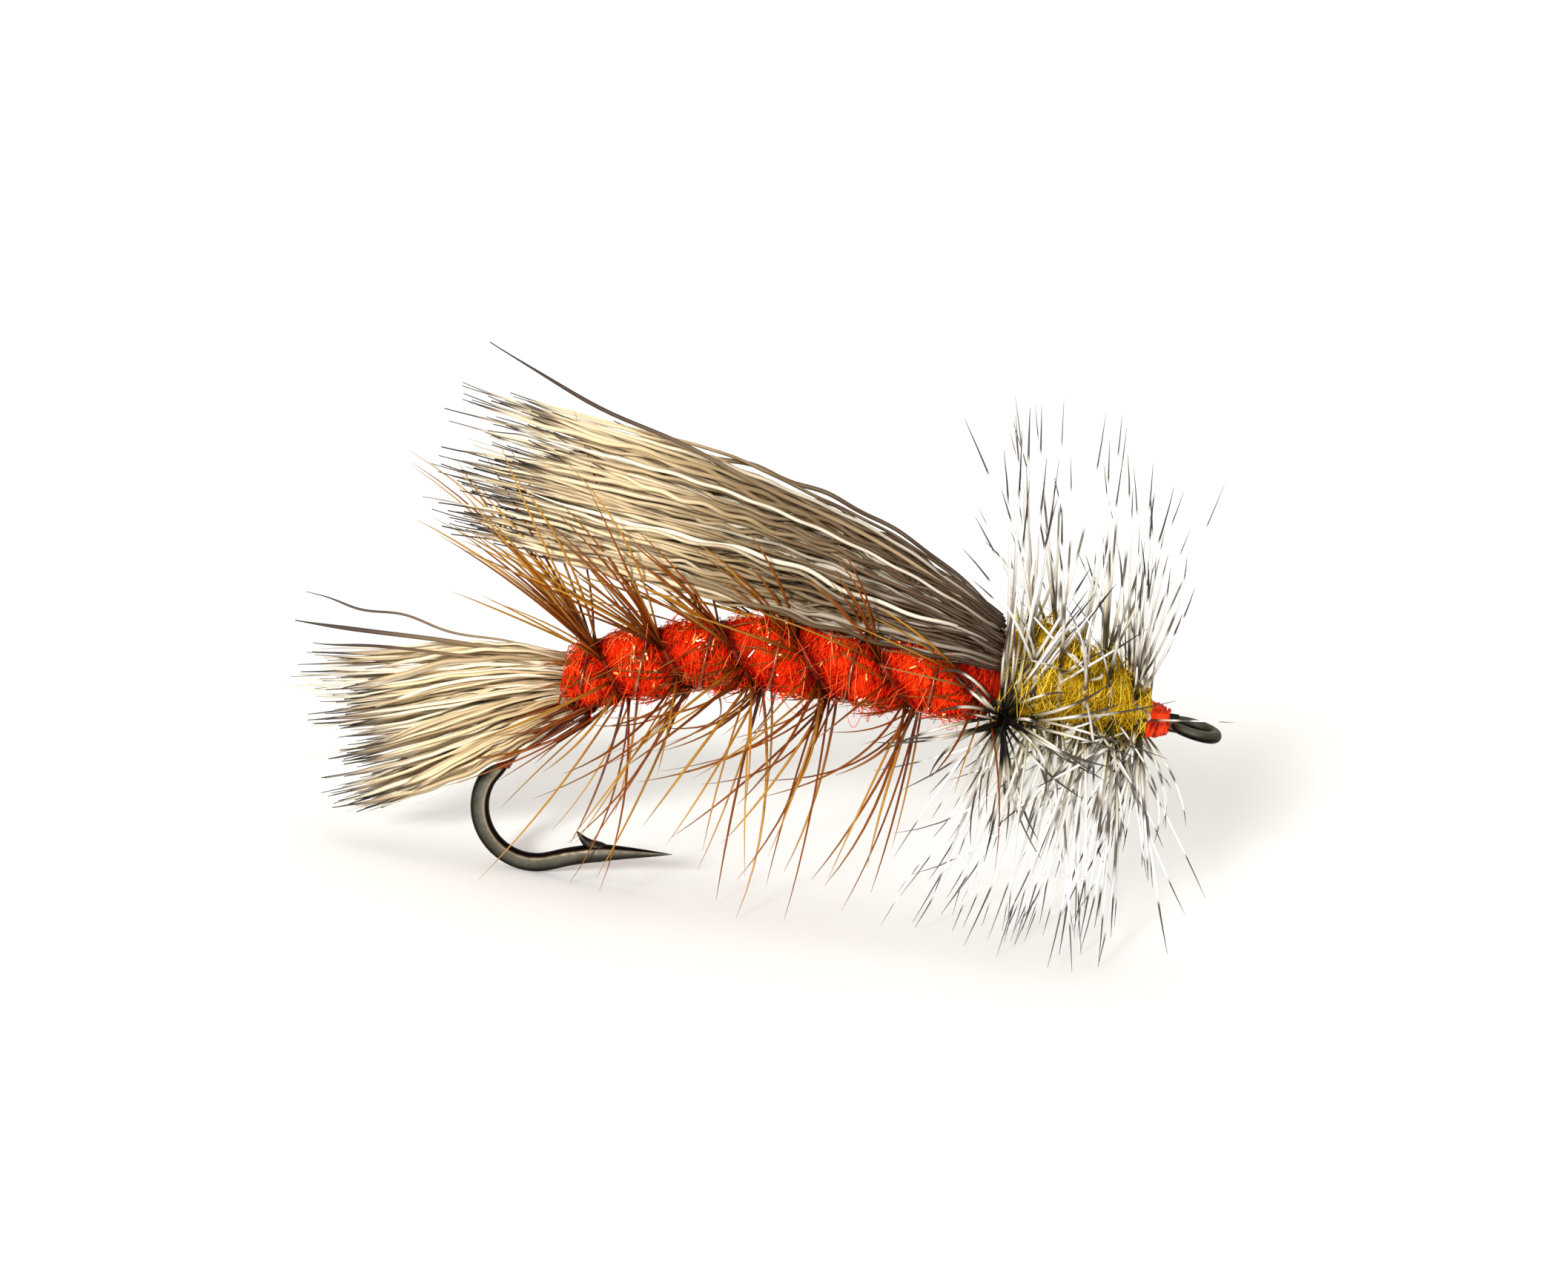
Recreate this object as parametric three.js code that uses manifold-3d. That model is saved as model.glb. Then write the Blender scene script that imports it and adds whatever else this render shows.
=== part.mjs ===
// A dry fly of the down-wing kind with a hackle wound along its body, tied on a size 8 long-shank
// hook. Sizes are in millimetres. +X runs from the tail to the hook eye, +Y is across and +Z is up.
// The fly stands on z = 0 on its hackle tips and the bottom of its hook bend, as it would on a
// table, with the origin under the middle of its bounding box.
// Hairs and feather barbs are coarser and fewer than the real ones, at about the same total volume.
import * as THREE from "three";
import Module from "manifold-3d";

const wasm = await Module();
wasm.setup();

// ---- driving dimensions -------------------------------------------------------------------------

const GAP = 0.02; // clearance between pieces that lie on each other
const SLIVER = 0.004; // edges shorter than this are closed up

// hook
const WIRE_R = 0.3;
const FORGED_HALF = 0.21; // half thickness between the two flats of the forged bend
const SHANK_Z = 8.3; // height of the straight part of the shank
const BEND_X = -6.4; // centre of the round bend
const BEND_Z = 2.12;
const BEND_R = 1.82;
const BEND_START = 142; // degrees round the bend, where the shank runs into it
const BEND_END = 283; // and where it runs into the spear
const POINT = [-1.83, 1.32]; // x, z of the sharp end
const BARB = [[-3.7, 1.12], [-4.45, 1.16], [-5.12, 1.39]]; // x, z from its root to its tip
const EYE_X = 13.98; // centre of the eye ring
const EYE_R = 0.66; // to the middle of its wire
const EYE_WIRE_R = 0.21;
const EYE_DIP = 6; // degrees the ring drops below the shank

// thread
const THREAD_R = 0.4; // outside of the wraps that cover the shank
const BEND_WRAP_R = 0.43;
const WIRE_BORE_R = 0.345; // room for the wire inside the wraps
const HEAD = [[12.4, 0.62], [12.75, 0.66], [13.1, 0.52], [13.3, 0.4]]; // x, radius
const WING_BAND = [[7.6, 0.02], [8.1, 0.02]]; // x, and how far it stands off the hair

// dubbing, as x and radius
const ABDOMEN = [[-6.2, 0.8], [-5.4, 1.0], [-3, 1.05], [0, 1.12], [3.2, 1.2], [5.5, 1.05],
  [7.35, 0.85]];
const THORAX = [[7.45, 1.35], [8.6, 1.6], [10.7, 1.15], [12.35, 0.72]];
const GROOVE = 0.09; // depth of the groove a hackle stem lies in
const BULGE = 0.07; // how far the dubbing swells between two turns
const SIDES = 12;

// hackles: the stem's place after n turns is rear + pitch n + growth n^2, from start to turns; barbs
// are counted in each turn, and each is drawn in a number of straight bits
const STEM_R = 0.085;
const BARB_R = 0.05; // at the root of a barb
const BODY_HACKLE = {
  rear: -5.94, pitch: 1.6, growth: 0.108, start: 0.3, turns: 5.85, barbs: 11, bits: 2, length: 7.2,
};
const FRONT_HACKLE = {
  rear: 7.95, pitch: 0.8, growth: 0.01, start: 0, turns: 5, barbs: 13, bits: 1, length: 7.7,
};
const TIP_FLOOR = 0.02; // hackle tips end this far above z = 0
const WING_SHADOW = 40; // degrees from straight up where the wing leaves the body hackle no room
const GAPE = { front: -1.05, low: 5.6 }; // no body barb ends behind this x and below this z

// ribbing wire
const RIB_R = 0.065;
const RIB_HOP = 0.16; // how far it rises to pass over the hackle stem
const RIB_PHASE = 90; // degrees from the hackle stem at its start

// hair
const HAIR_R = 0.08;

// ---- helpers ------------------------------------------------------------------------------------

const v3 = (x, y, z) => new THREE.Vector3(x, y, z);
const inPlane = (pairs) => pairs.map(([x, z]) => v3(x, 0, z));
const curveOf = (points) => new THREE.CatmullRomCurve3(points, false, "centripetal");
const rad = THREE.MathUtils.degToRad;
const mix = THREE.MathUtils.lerp;
const smooth = THREE.MathUtils.smoothstep;
const between = (from, to) => mix(from, to, THREE.MathUtils.seededRandom());

// The value at x of a graph given as [x, value] pairs in rising x.
function graph(pairs, x) {
  const i = Math.max(1, pairs.findIndex(([at]) => at >= x));
  const [[x0, v0], [x1, v1]] = x > pairs.at(-1)[0] ? pairs.slice(-2) : [pairs[i - 1], pairs[i]];
  return mix(v0, v1, THREE.MathUtils.clamp((x - x0) / (x1 - x0), 0, 1));
}

// Height of a curve that runs along X, at x.
function heightAt(curve, x) {
  let low = 0;
  let high = 1;
  for (let i = 0; i < 24; i++) {
    const middle = (low + high) / 2;
    if (curve.getPoint(middle).x < x) low = middle;
    else high = middle;
  }
  return curve.getPoint(low).z;
}

function solid(vertProperties, triVerts) {
  return new wasm.Manifold(new wasm.Mesh({ numProp: 3, vertProperties, triVerts }));
}

const solidOf = (positions, indices) => solid(new Float32Array(positions), new Uint32Array(indices));
const joined = (solids) => solids.reduce((whole, part) => whole.add(part));
const cutBy = (shape, rooms) => rooms.reduce((left, room) => left.subtract(room), shape);

// A closed tube along points. section(t) gives [half width in the plane of the curve, half width
// across it, limit across it]; a half width of 0 at the last point makes a sharp end.
function tube(points, section, sides) {
  const positions = [];
  const indices = [];
  const last = points.length - 1;
  const sharp = section(1)[0] === 0;
  const side = v3(0, -1, 0);
  points.forEach((point, i) => {
    const ahead = points[Math.min(i + 1, last)].clone().sub(points[Math.max(i - 1, 0)]).normalize();
    side.addScaledVector(ahead, -side.dot(ahead)).normalize();
    const up = ahead.clone().cross(side);
    const [high, wide, limit = wide] = section(i / last);
    for (let k = 0; k < (sharp && i === last ? 1 : sides); k++) {
      const angle = (2 * Math.PI * (k + 0.5)) / sides;
      const across = THREE.MathUtils.clamp(wide * Math.cos(angle), -limit, limit);
      const vertex = point.clone().addScaledVector(side, across);
      positions.push(...vertex.addScaledVector(up, high * Math.sin(angle)).toArray());
    }
  });
  const rings = sharp ? last : last + 1;
  for (let i = 0; i < rings - 1; i++)
    for (let k = 0; k < sides; k++) {
      const a = i * sides + k;
      const b = i * sides + ((k + 1) % sides);
      indices.push(a, b, a + sides, b, b + sides, a + sides);
    }
  const end = (rings - 1) * sides;
  for (let k = 1; k < sides - 1; k++) indices.push(0, k + 1, k);
  for (let k = 0; sharp && k < sides; k++) indices.push(end + k, end + ((k + 1) % sides), end + sides);
  for (let k = 1; !sharp && k < sides - 1; k++) indices.push(end, end + k, end + k + 1);
  return solidOf(positions, indices);
}

const evenTube = (points, radius, sides) => tube(points, () => [radius, radius], sides);

// A hair or a barb: a thin tube that ends in a point, bowed along a quadratic curve.
function strand(root, middle, tip, radius, segments) {
  const points = new THREE.QuadraticBezierCurve3(root, middle, tip).getPoints(segments);
  return tube(points, (t) => (t === 1 ? [0, 0] : [radius * (1 - 0.5 * t), radius * (1 - 0.5 * t)]), 3);
}

const fly = new THREE.Group();

function add(name, shape, color, roughness, metalness = 0) {
  const mesh = shape.simplify(SLIVER).getMesh();
  const geometry = new THREE.BufferGeometry();
  geometry.setAttribute("position", new THREE.BufferAttribute(mesh.vertProperties, 3));
  geometry.setIndex(new THREE.BufferAttribute(mesh.triVerts, 1));
  geometry.computeVertexNormals();
  const part = new THREE.Mesh(geometry, new THREE.MeshStandardMaterial({ color, roughness, metalness }));
  part.name = name;
  fly.add(part);
}

// ---- hook ---------------------------------------------------------------------------------------

// The shank is straight behind the eye and drops in a slow curve to the bend.
const SHANK = inPlane([[13.4, SHANK_Z], [10, SHANK_Z], [6, SHANK_Z], [2, 8.26], [-0.5, 8.02],
  [-2.4, 7.5], [-4.2, 6.72], [-5.6, 5.74], [-6.6, 4.78], [-7.5, 3.98]]);
const BEND = Array.from({ length: 9 }, (_, i) => {
  const angle = rad(mix(BEND_START, BEND_END, i / 8));
  return v3(BEND_X + BEND_R * Math.cos(angle), 0, BEND_Z + BEND_R * Math.sin(angle));
});
const SPEAR = inPlane([[-5, 0.72], [-4.1, 0.98], POINT]);
const wire = curveOf([...SHANK, ...BEND, ...SPEAR]);

// The wire's centreline between two shares of its length, counted from the eye.
const stretch = (from, to, steps) =>
  Array.from({ length: steps + 1 }, (_, i) => wire.getPointAt(mix(from, to, i / steps)));

// The share of the wire's length at which its shank reaches back to x.
function shareAt(x) {
  let low = 0;
  let high = 0.74;
  for (let i = 0; i < 24; i++) {
    const middle = (low + high) / 2;
    if (wire.getPointAt(middle).x > x) low = middle;
    else high = middle;
  }
  return low;
}

// Shares of the wire's length, counted from the eye.
const FORGED = [0.67, 0.88];
const TAPER_FROM = 0.925;

// Round on the shank, forged flat through the bend, then tapered to the point.
function wireSection(extra) {
  return (t) => {
    if (t === 1) return [0, 0];
    const forged = smooth(t, FORGED[0], FORGED[0] + 0.05) * (1 - smooth(t, FORGED[1], FORGED[1] + 0.04));
    const radius = WIRE_R * (t < TAPER_FROM ? 1 : (1 - t) / (1 - TAPER_FROM)) + extra;
    return [radius, radius, mix(radius, FORGED_HALF + extra, forged)];
  };
}

function eyeRing(extra) {
  const around = 18;
  const across = 6;
  const radius = EYE_WIRE_R + extra;
  const centre = v3(EYE_X, 0, SHANK_Z - EYE_R * Math.sin(rad(EYE_DIP)));
  const positions = [];
  const indices = [];
  for (let i = 0; i < around; i++)
    for (let k = 0; k < across; k++) {
      const u = (2 * Math.PI * i) / around;
      const w = (2 * Math.PI * (k + 0.5)) / across;
      const out = EYE_R + radius * Math.cos(w);
      const vertex = v3(out * Math.cos(u), out * Math.sin(u), radius * Math.sin(w));
      vertex.applyAxisAngle(v3(0, 1, 0), rad(EYE_DIP)).add(centre);
      positions.push(...vertex.toArray());
      const next = ((i + 1) % around) * across;
      const a = i * across + k;
      const b = i * across + ((k + 1) % across);
      indices.push(a, next + k, b, b, next + k, next + ((k + 1) % across));
    }
  return solidOf(positions, indices);
}

function hookSolid(extra) {
  const barb = tube(inPlane(BARB), (t) => (t === 1 ? [0, 0] : [0.13 + extra, 0.12 + extra]), 4);
  return joined([tube(stretch(0, 1, 34), wireSection(extra), SIDES), eyeRing(extra), barb]);
}

add("hook", hookSolid(0), 0x4b4a44, 0.35, 0.9);
const hookRoom = hookSolid(GAP);

// ---- thread -------------------------------------------------------------------------------------

const THREAD_FRONT = shareAt(HEAD[0][0]) + 0.001;
const BODY_END = shareAt(-5);
const WRAP_END = shareAt(-7.95);

const WRAP_SIDES = 8;

// The room wraps of thread take up round the wire, and the wraps with the wire's own room left out.
function wrapRoom(from, to, steps, radius) {
  return evenTube(stretch(from, to, steps), radius, WRAP_SIDES);
}
function wraps(from, to, steps, radius) {
  const bore = wrapRoom(from - 0.002, to + 0.002, steps, WIRE_BORE_R);
  return wrapRoom(from, to, steps, radius).subtract(bore);
}
const straightTube = (pairs, extra, sides) => {
  const section = (t) => {
    const radius = pairs[Math.round(t * (pairs.length - 1))][1] + extra;
    return [radius, radius];
  };
  return tube(inPlane(pairs.map(([x]) => [x, SHANK_Z])), section, sides);
};

add("shank_thread", wraps(THREAD_FRONT, BODY_END, 12, THREAD_R), 0xd8401f, 0.6);
add("bend_wrap", wraps(BODY_END + 0.002, WRAP_END, 7, BEND_WRAP_R), 0x4a160c, 0.6);
add("thread_head", straightTube(HEAD, 0, SIDES).subtract(hookRoom), 0xf04a23, 0.45);
const threadRoom = wrapRoom(THREAD_FRONT - 0.02, BODY_END, 12, THREAD_R + GAP)
  .add(wrapRoom(BODY_END - 0.01, WRAP_END, 7, BEND_WRAP_R + GAP));

// ---- hair: the tail and the wing, each in locks of many hairs -----------------------------------

// A lock is the tied-down butts, as a flattened tube, and hairs that start in it and fan out behind.
// low and high give [x, z] of the middle and of the tip of its lowest and its highest hair.
function lock({ butts, flat, hairs, low, high, spread, seed }) {
  THREE.MathUtils.seededRandom(seed);
  const path = inPlane(butts);
  const root = path.at(-1).clone().lerp(path.at(-2), 0.15);
  const shafts = Array.from({ length: hairs }, (_, i) => {
    const share = i / (hairs - 1);
    const across = ((i % 3) - 1) * 0.8 + between(-0.2, 0.2);
    const [middle, tip] = [0, 1].map((end) => {
      const [x, z] = [0, 1].map((axis) => mix(low[end][axis], high[end][axis], share));
      return v3(x, across * spread * (end ? 1 : 0.45), z);
    });
    tip.x += between(0, 0.9);
    return strand(root.clone().add(v3(0, across * flat[1] * 0.6, 0)), middle, tip, HAIR_R, 3);
  });
  return joined([tube(path, () => flat, 6), ...shafts]);
}

const roomOf = ({ butts, flat }) => tube(inPlane(butts), () => [flat[0] + GAP, flat[1] + GAP], 6);

const TAIL_LOCKS = {
  tail_hair_lower: {
    butts: [[-2.8, 7.92], [-3.8, 7.52], [-5, 6.92], [-6.2, 6.1], [-6.5, 5.88]],
    low: [[-8.6, 3.9], [-11.9, 0.66]],
    high: [[-9.6, 4.1], [-13.9, 2.0]],
    flat: [0.13, 0.3], hairs: 6, spread: 1.7, seed: 11,
  },
  tail_hair_middle: {
    butts: [[-4.2, 7.7], [-5.1, 7.23], [-6.25, 6.5], [-6.6, 6.28]],
    low: [[-9.8, 4.6], [-14.3, 2.6]],
    high: [[-10.2, 5.4], [-14.6, 4.3]],
    flat: [0.13, 0.3], hairs: 6, spread: 1.9, seed: 12,
  },
  tail_hair_upper: {
    butts: [[-5.3, 7.46], [-6.3, 6.9], [-6.7, 6.68]],
    low: [[-10.2, 5.9], [-14.7, 4.8]],
    high: [[-10.3, 6.7], [-14.6, 6.5]],
    flat: [0.13, 0.28], hairs: 6, spread: 1.7, seed: 14,
  },
};

const WING_LOCKS = {
  wing_hair_bottom: {
    butts: [[11, 8.88], [8.4, 8.88], [7.75, 9.04], [7.4, 9.34]],
    low: [[1.0, 11.9], [-9.7, 10.3]],
    high: [[0.9, 12.2], [-10.4, 11.2]],
    flat: [0.13, 0.5], hairs: 7, spread: 1.9, seed: 21,
  },
  wing_hair_lower: {
    butts: [[10.2, 9.2], [8.4, 9.2], [7.75, 9.36], [7.35, 9.67]],
    low: [[0.7, 12.5], [-10.6, 11.6]],
    high: [[0.6, 13.0], [-10.7, 12.4]],
    flat: [0.13, 0.5], hairs: 7, spread: 2.1, seed: 22,
  },
  wing_hair_upper: {
    butts: [[9.4, 9.52], [8.4, 9.52], [7.75, 9.68], [7.3, 10.0]],
    low: [[0.4, 13.4], [-10.4, 12.8]],
    high: [[0.3, 14.0], [-10.2, 13.6]],
    flat: [0.13, 0.48], hairs: 7, spread: 2.0, seed: 23,
  },
  wing_hair_top: {
    butts: [[8.9, 9.84], [8.4, 9.84], [7.75, 10.0], [7.25, 10.34]],
    low: [[0.1, 14.5], [-10.1, 14.1]],
    high: [[0, 15.1], [-9.7, 15.2]],
    flat: [0.13, 0.42], hairs: 7, spread: 1.6, seed: 24,
  },
};

Object.entries(TAIL_LOCKS).forEach(([name, shape]) => add(name, lock(shape), 0xcdb184, 0.7));
Object.entries(WING_LOCKS).forEach(([name, shape]) => add(name, lock(shape), 0xa68a62, 0.7));

// Hairs that stand clear of the rest, as root, middle and tip.
const STRAYS = {
  tail_stray_hair_1: [[-6.75, 0.12, 7.0], [-10.6, 0.5, 7.5], [-14.85, 0.9, 7.6]],
  tail_stray_hair_2: [[-6.75, -0.1, 7.02], [-10.6, -0.5, 7.2], [-14.8, -1.1, 7.05]],
  tail_stray_hair_3: [[-6.78, -0.32, 7.0], [-10.2, -1.2, 7.0], [-14.0, -2.2, 6.6]],
  wing_stray_hair: [[7.0, -0.3, 10.66], [-0.5, -1.9, 13.6], [-9.95, -2.0, 16.9]],
};
for (const [name, points] of Object.entries(STRAYS)) {
  const [root, middle, tip] = points.map((point) => v3(...point));
  add(name, strand(root, middle, tip, HAIR_R, 5), name.startsWith("tail") ? 0xcdb184 : 0xa68a62, 0.7);
}

const buttRooms = [...Object.values(TAIL_LOCKS), ...Object.values(WING_LOCKS)].map(roomOf);

// The band of thread that binds the wing down on the shank.
function wingBand(extra) {
  const [[rear], [front]] = WING_BAND;
  const section = () => [1.28 + extra, 0.95 + extra, 0.7 + extra];
  return tube(inPlane([[rear - extra, 9], [front + extra, 9]]), section, SIDES);
}
add("wing_band", cutBy(wingBand(0), [threadRoom, ...buttRooms]), 0xd8401f, 0.6);

// ---- wound work: dubbing, the feathers wound over it, and the ribbing wire ----------------------

// Centrelines: the abdomen is centred a little above the curve of the shank, over the butts of the
// tail, and the thorax rides up over the butts of the wing.
const abdomenLine = curveOf(inPlane([[-8.2, 5.5], [-6.15, 6.38], [-4.2, 7.12], [-2.5, 7.7],
  [-0.5, 8.14], [2, 8.3], [7.35, 8.32], [9, 8.32]]));
const thoraxLine = curveOf(inPlane([[6, 8.9], [7.45, 9.0], [8.9, 9.1], [10.7, 8.8], [12.35, 8.45],
  [13.5, 8.3]]));

const ABDOMEN_WIND = { line: abdomenLine, outline: ABDOMEN, feather: BODY_HACKLE };
const THORAX_WIND = { line: thoraxLine, outline: THORAX, feather: FRONT_HACKLE };

const turnX = ({ rear, pitch, growth }, turn) => rear + pitch * turn + growth * turn * turn;

// A point beside the centreline at x, turned from straight down towards +Y.
function beside(line, x, radius, angle) {
  return v3(x, radius * Math.sin(angle), heightAt(line, x) - radius * Math.cos(angle));
}

const windAngle = (turn) => 2 * Math.PI * turn;

// Dubbing as a screw: every turn has a groove for the stem, two shoulders and a swelling between them.
function dubbing({ line, outline, feather }) {
  const rows = [[0, -GROOVE], [0.14, 0], [0.5, BULGE], [0.86, 0]];
  const first = -2;
  const turns = Math.ceil(feather.turns) + 3;
  const count = (turns + 1) * rows.length;
  const positions = [];
  const indices = [];
  for (let j = 0; j < count; j++)
    for (let k = 0; k < SIDES; k++) {
      const [share, rise] = rows[j % rows.length];
      const x = turnX(feather, first + Math.floor(j / rows.length) + share + k / SIDES);
      positions.push(...beside(line, x, graph(outline, x) + rise, windAngle(k / SIDES)).toArray());
    }
  // The end of a row joins on to the start of the row one turn ahead.
  const at = (j, k) => (k < SIDES ? j * SIDES + k : (j + rows.length) * SIDES + k - SIDES);
  const last = count - rows.length - 1;
  for (let j = 0; j < last; j++)
    for (let k = 0; k < SIDES; k++)
      indices.push(at(j, k), at(j, k + 1), at(j + 1, k), at(j + 1, k), at(j, k + 1), at(j + 1, k + 1));
  for (const j of [0, last]) {
    const hub = positions.length / 3;
    const x = turnX(feather, first + j / rows.length + 0.5);
    positions.push(x, 0, heightAt(line, x));
    const rim = Array.from({ length: SIDES + 1 }, (_, k) => at(j, k));
    for (let back = rows.length - 1; back > 0; back--) rim.push(at(j + back, 0));
    rim.forEach((vertex, i) => {
      const next = rim[(i + 1) % rim.length];
      indices.push(hub, ...(j === 0 ? [next, vertex] : [vertex, next]));
    });
  }
  return solidOf(positions, indices).intersect(endShape(line, outline));
}

// A plug that is wider than the dubbing in the middle and rounds off its two ends.
function endShape(line, outline) {
  const rear = outline[0];
  const front = outline.at(-1);
  const rings = [[rear[0], rear[1] - 0.3], [rear[0] + 0.25, rear[1]], [rear[0] + 0.6, 2.2],
    [front[0] - 0.5, 2.2], [front[0] - 0.2, front[1]], [front[0], front[1] - 0.2]];
  const positions = [];
  const indices = [];
  for (const [x, radius] of rings)
    for (let k = 0; k < SIDES; k++)
      positions.push(...beside(line, x, radius, windAngle(k / SIDES)).toArray());
  for (let i = 0; i < rings.length - 1; i++)
    for (let k = 0; k < SIDES; k++) {
      const next = (k + 1) % SIDES;
      const a = i * SIDES;
      indices.push(a + k, a + next, a + SIDES + k, a + SIDES + k, a + next, a + SIDES + next);
    }
  const end = (rings.length - 1) * SIDES;
  for (let k = 1; k < SIDES - 1; k++) indices.push(0, k + 1, k, end, end + k, end + k + 1);
  return solidOf(positions, indices);
}

// The line a stem lies on, in its groove.
function stemPoint({ line, outline, feather }, turn) {
  const x = turnX(feather, turn);
  return beside(line, x, graph(outline, x) - GROOVE + 2 * GAP + STEM_R, windAngle(turn));
}

// A feather: its stem wound in the groove, and barbs standing out from it. aim(x, angle) gives a
// barb's lean towards the eye in degrees and its length, or nothing where there is no barb, and may
// give blocks(tip), which leaves out a barb whose tip is in the way.
function woundFeather(wind, aim) {
  const { start, turns, barbs, bits } = wind.feather;
  const steps = Math.round((turns - start) * SIDES);
  const stemLine = Array.from({ length: steps + 1 }, (_, i) => stemPoint(wind, start + i / SIDES));
  const parts = [evenTube(stemLine, STEM_R, 4)];
  for (let i = Math.ceil((start + 0.1) * barbs); i < turns * barbs - 1; i++) {
    const turn = (i + between(-0.15, 0.15)) / barbs;
    const root = stemPoint(wind, turn);
    const angle = windAngle(turn);
    const aimed = aim(root.x, angle);
    if (!aimed) continue;
    const out = v3(0, Math.sin(angle), -Math.cos(angle));
    const along = out.clone().applyAxisAngle(v3(0, -Math.cos(angle), -Math.sin(angle)), rad(aimed.lean));
    const drop = (TIP_FLOOR - root.z) / along.z;
    const length = along.z < 0 ? Math.min(aimed.length, drop) : aimed.length;
    const tip = root.clone().addScaledVector(along, length);
    const middle = root.clone().lerp(tip, 0.5).addScaledVector(out, 0.05 * length);
    if (aimed.blocks?.(tip)) continue;
    parts.push(strand(root.clone().addScaledVector(out, -0.03), middle, tip, BARB_R, bits));
  }
  return joined(parts);
}

// How near straight up or straight down an angle points, from 1 down to -1.
const upward = (angle) => -Math.cos(angle);

const inGape = (tip) => tip.x < GAPE.front && tip.z < GAPE.low;

function aimBodyBarb(x, angle) {
  const up = upward(angle);
  if (up > Math.cos(rad(WING_SHADOW))) return null;
  const lean = -(10 + 34 * Math.max(0, up) + between(0, 8));
  return { lean, length: BODY_HACKLE.length * between(0.86, 1.08), blocks: inGape };
}

function aimFrontBarb(x) {
  const lean = mix(-12, 9, (x - FRONT_HACKLE.rear) / 4) + between(-4, 4);
  return { lean, length: FRONT_HACKLE.length * between(0.92, 1.04) };
}

const tiedDown = [threadRoom, ...buttRooms, wingBand(GAP)];
add("abdomen_dubbing", cutBy(dubbing(ABDOMEN_WIND), tiedDown), 0xd8431c, 0.95);
add("thorax_dubbing", cutBy(dubbing(THORAX_WIND), tiedDown), 0xc08a2c, 0.95);
THREE.MathUtils.seededRandom(31);
add("body_hackle", woundFeather(ABDOMEN_WIND, aimBodyBarb), 0x6b3418, 0.5);
THREE.MathUtils.seededRandom(32);
add("front_hackle", woundFeather(THORAX_WIND, aimFrontBarb), 0xcfc4ae, 0.5);

// The ribbing wire is wound the other way and passes over the hackle stem twice in every turn.
function ribPoint(turn) {
  const x = turnX(BODY_HACKLE, turn);
  const apart = 2 * windAngle(turn) + rad(RIB_PHASE);
  const nearest = Math.atan2(Math.sin(apart), Math.cos(apart));
  const rise = RIB_HOP * Math.exp(-((nearest / 0.7) ** 2));
  const radius = graph(ABDOMEN, x) + BULGE + GAP + RIB_R + rise;
  return beside(abdomenLine, x, radius, -windAngle(turn) - rad(RIB_PHASE));
}
const RIB_STEPS = 15; // in each turn
const ribLine = Array.from({ length: 5.6 * RIB_STEPS + 1 }, (_, i) => ribPoint(0.15 + i / RIB_STEPS));
add("rib_wire", evenTube(ribLine, RIB_R, 3), 0xd9a58e, 0.3, 0.9);

export default fly;
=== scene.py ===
"""A dry fly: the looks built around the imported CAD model. Lengths are in millimetres until a mesh is made."""
import math

import bpy
import numpy as np
from mathutils import Matrix, Vector, noise


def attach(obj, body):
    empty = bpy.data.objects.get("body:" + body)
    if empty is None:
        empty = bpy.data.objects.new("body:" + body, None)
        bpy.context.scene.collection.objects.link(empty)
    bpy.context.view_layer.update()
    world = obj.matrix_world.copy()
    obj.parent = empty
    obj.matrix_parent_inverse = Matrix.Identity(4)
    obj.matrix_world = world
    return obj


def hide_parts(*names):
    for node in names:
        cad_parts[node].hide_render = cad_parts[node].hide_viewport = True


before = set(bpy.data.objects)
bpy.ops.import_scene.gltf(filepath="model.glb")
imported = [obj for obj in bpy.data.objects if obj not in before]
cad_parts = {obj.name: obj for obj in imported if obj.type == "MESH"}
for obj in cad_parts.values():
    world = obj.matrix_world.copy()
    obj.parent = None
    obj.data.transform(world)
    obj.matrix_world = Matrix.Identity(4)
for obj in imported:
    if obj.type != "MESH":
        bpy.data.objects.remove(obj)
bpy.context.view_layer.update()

MM = 0.001
TAU = 2 * math.pi
WHITE = (1, 1, 1, 1)
seeded = np.random.default_rng

# ---- dimensions shared with the CAD model ----

WIRE_R = 0.3
FORGED_HALF = 0.21
SHANK_Z = 8.3
BEND_X, BEND_Z, BEND_R = -6.4, 2.12, 1.82
BEND_START, BEND_END = 142, 283
POINT = (-1.83, 1.32)
EYE_X, EYE_LONG, EYE_WIDE, EYE_WIRE_R, EYE_DIP, EYE_ROLL = 13.93, 0.73, 0.63, 0.2, 7, 5
HEAD = [(12.4, 0.64), (12.7, 0.58), (13.0, 0.45), (13.16, 0.34)]
ABDOMEN = [(-6.2, 0.8), (-5.4, 0.97), (-3, 0.96), (0, 0.98), (3.2, 1.02), (5.5, 0.94), (7.35, 0.8)]
THORAX = [(7.55, 1.05), (8.4, 1.62), (9.6, 1.34), (10.7, 0.98), (12.35, 0.62)]
ABDOMEN_LINE = [(-8.2, 5.5), (-6.15, 6.38), (-4.2, 7.12), (-2.5, 7.7), (-0.5, 8.14), (2, 8.3),
                (7.35, 8.32), (9, 8.32)]
THORAX_LINE = [(6, 8.9), (7.45, 9.0), (8.9, 9.1), (10.7, 8.8), (12.35, 8.45), (13.5, 8.3)]
BODY_HACKLE = dict(rear=-5.94, pitch=1.6, growth=0.108, skew=0.13)
FRONT_HACKLE = dict(rear=7.95, pitch=0.8, growth=0.01, skew=0.05)
STEM_R = 0.1
BODY_BULGE, FRONT_BULGE = 0.33, 0.14
FLOOR_CLEAR = 0.03  # strands end this far above the floor
WIRE_CLEAR, WRAPS_CLEAR = 0.42, 0.13  # from the wire's axis to a tail hair, and how much more at the wraps
FIRST_TURN, LAST_TURN = 0.3, 5.88  # of the body hackle that bear barbs
STEM_STEPS = 40  # points in a turn of a stem
BARB_STEPS = 10  # points along a barb
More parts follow.
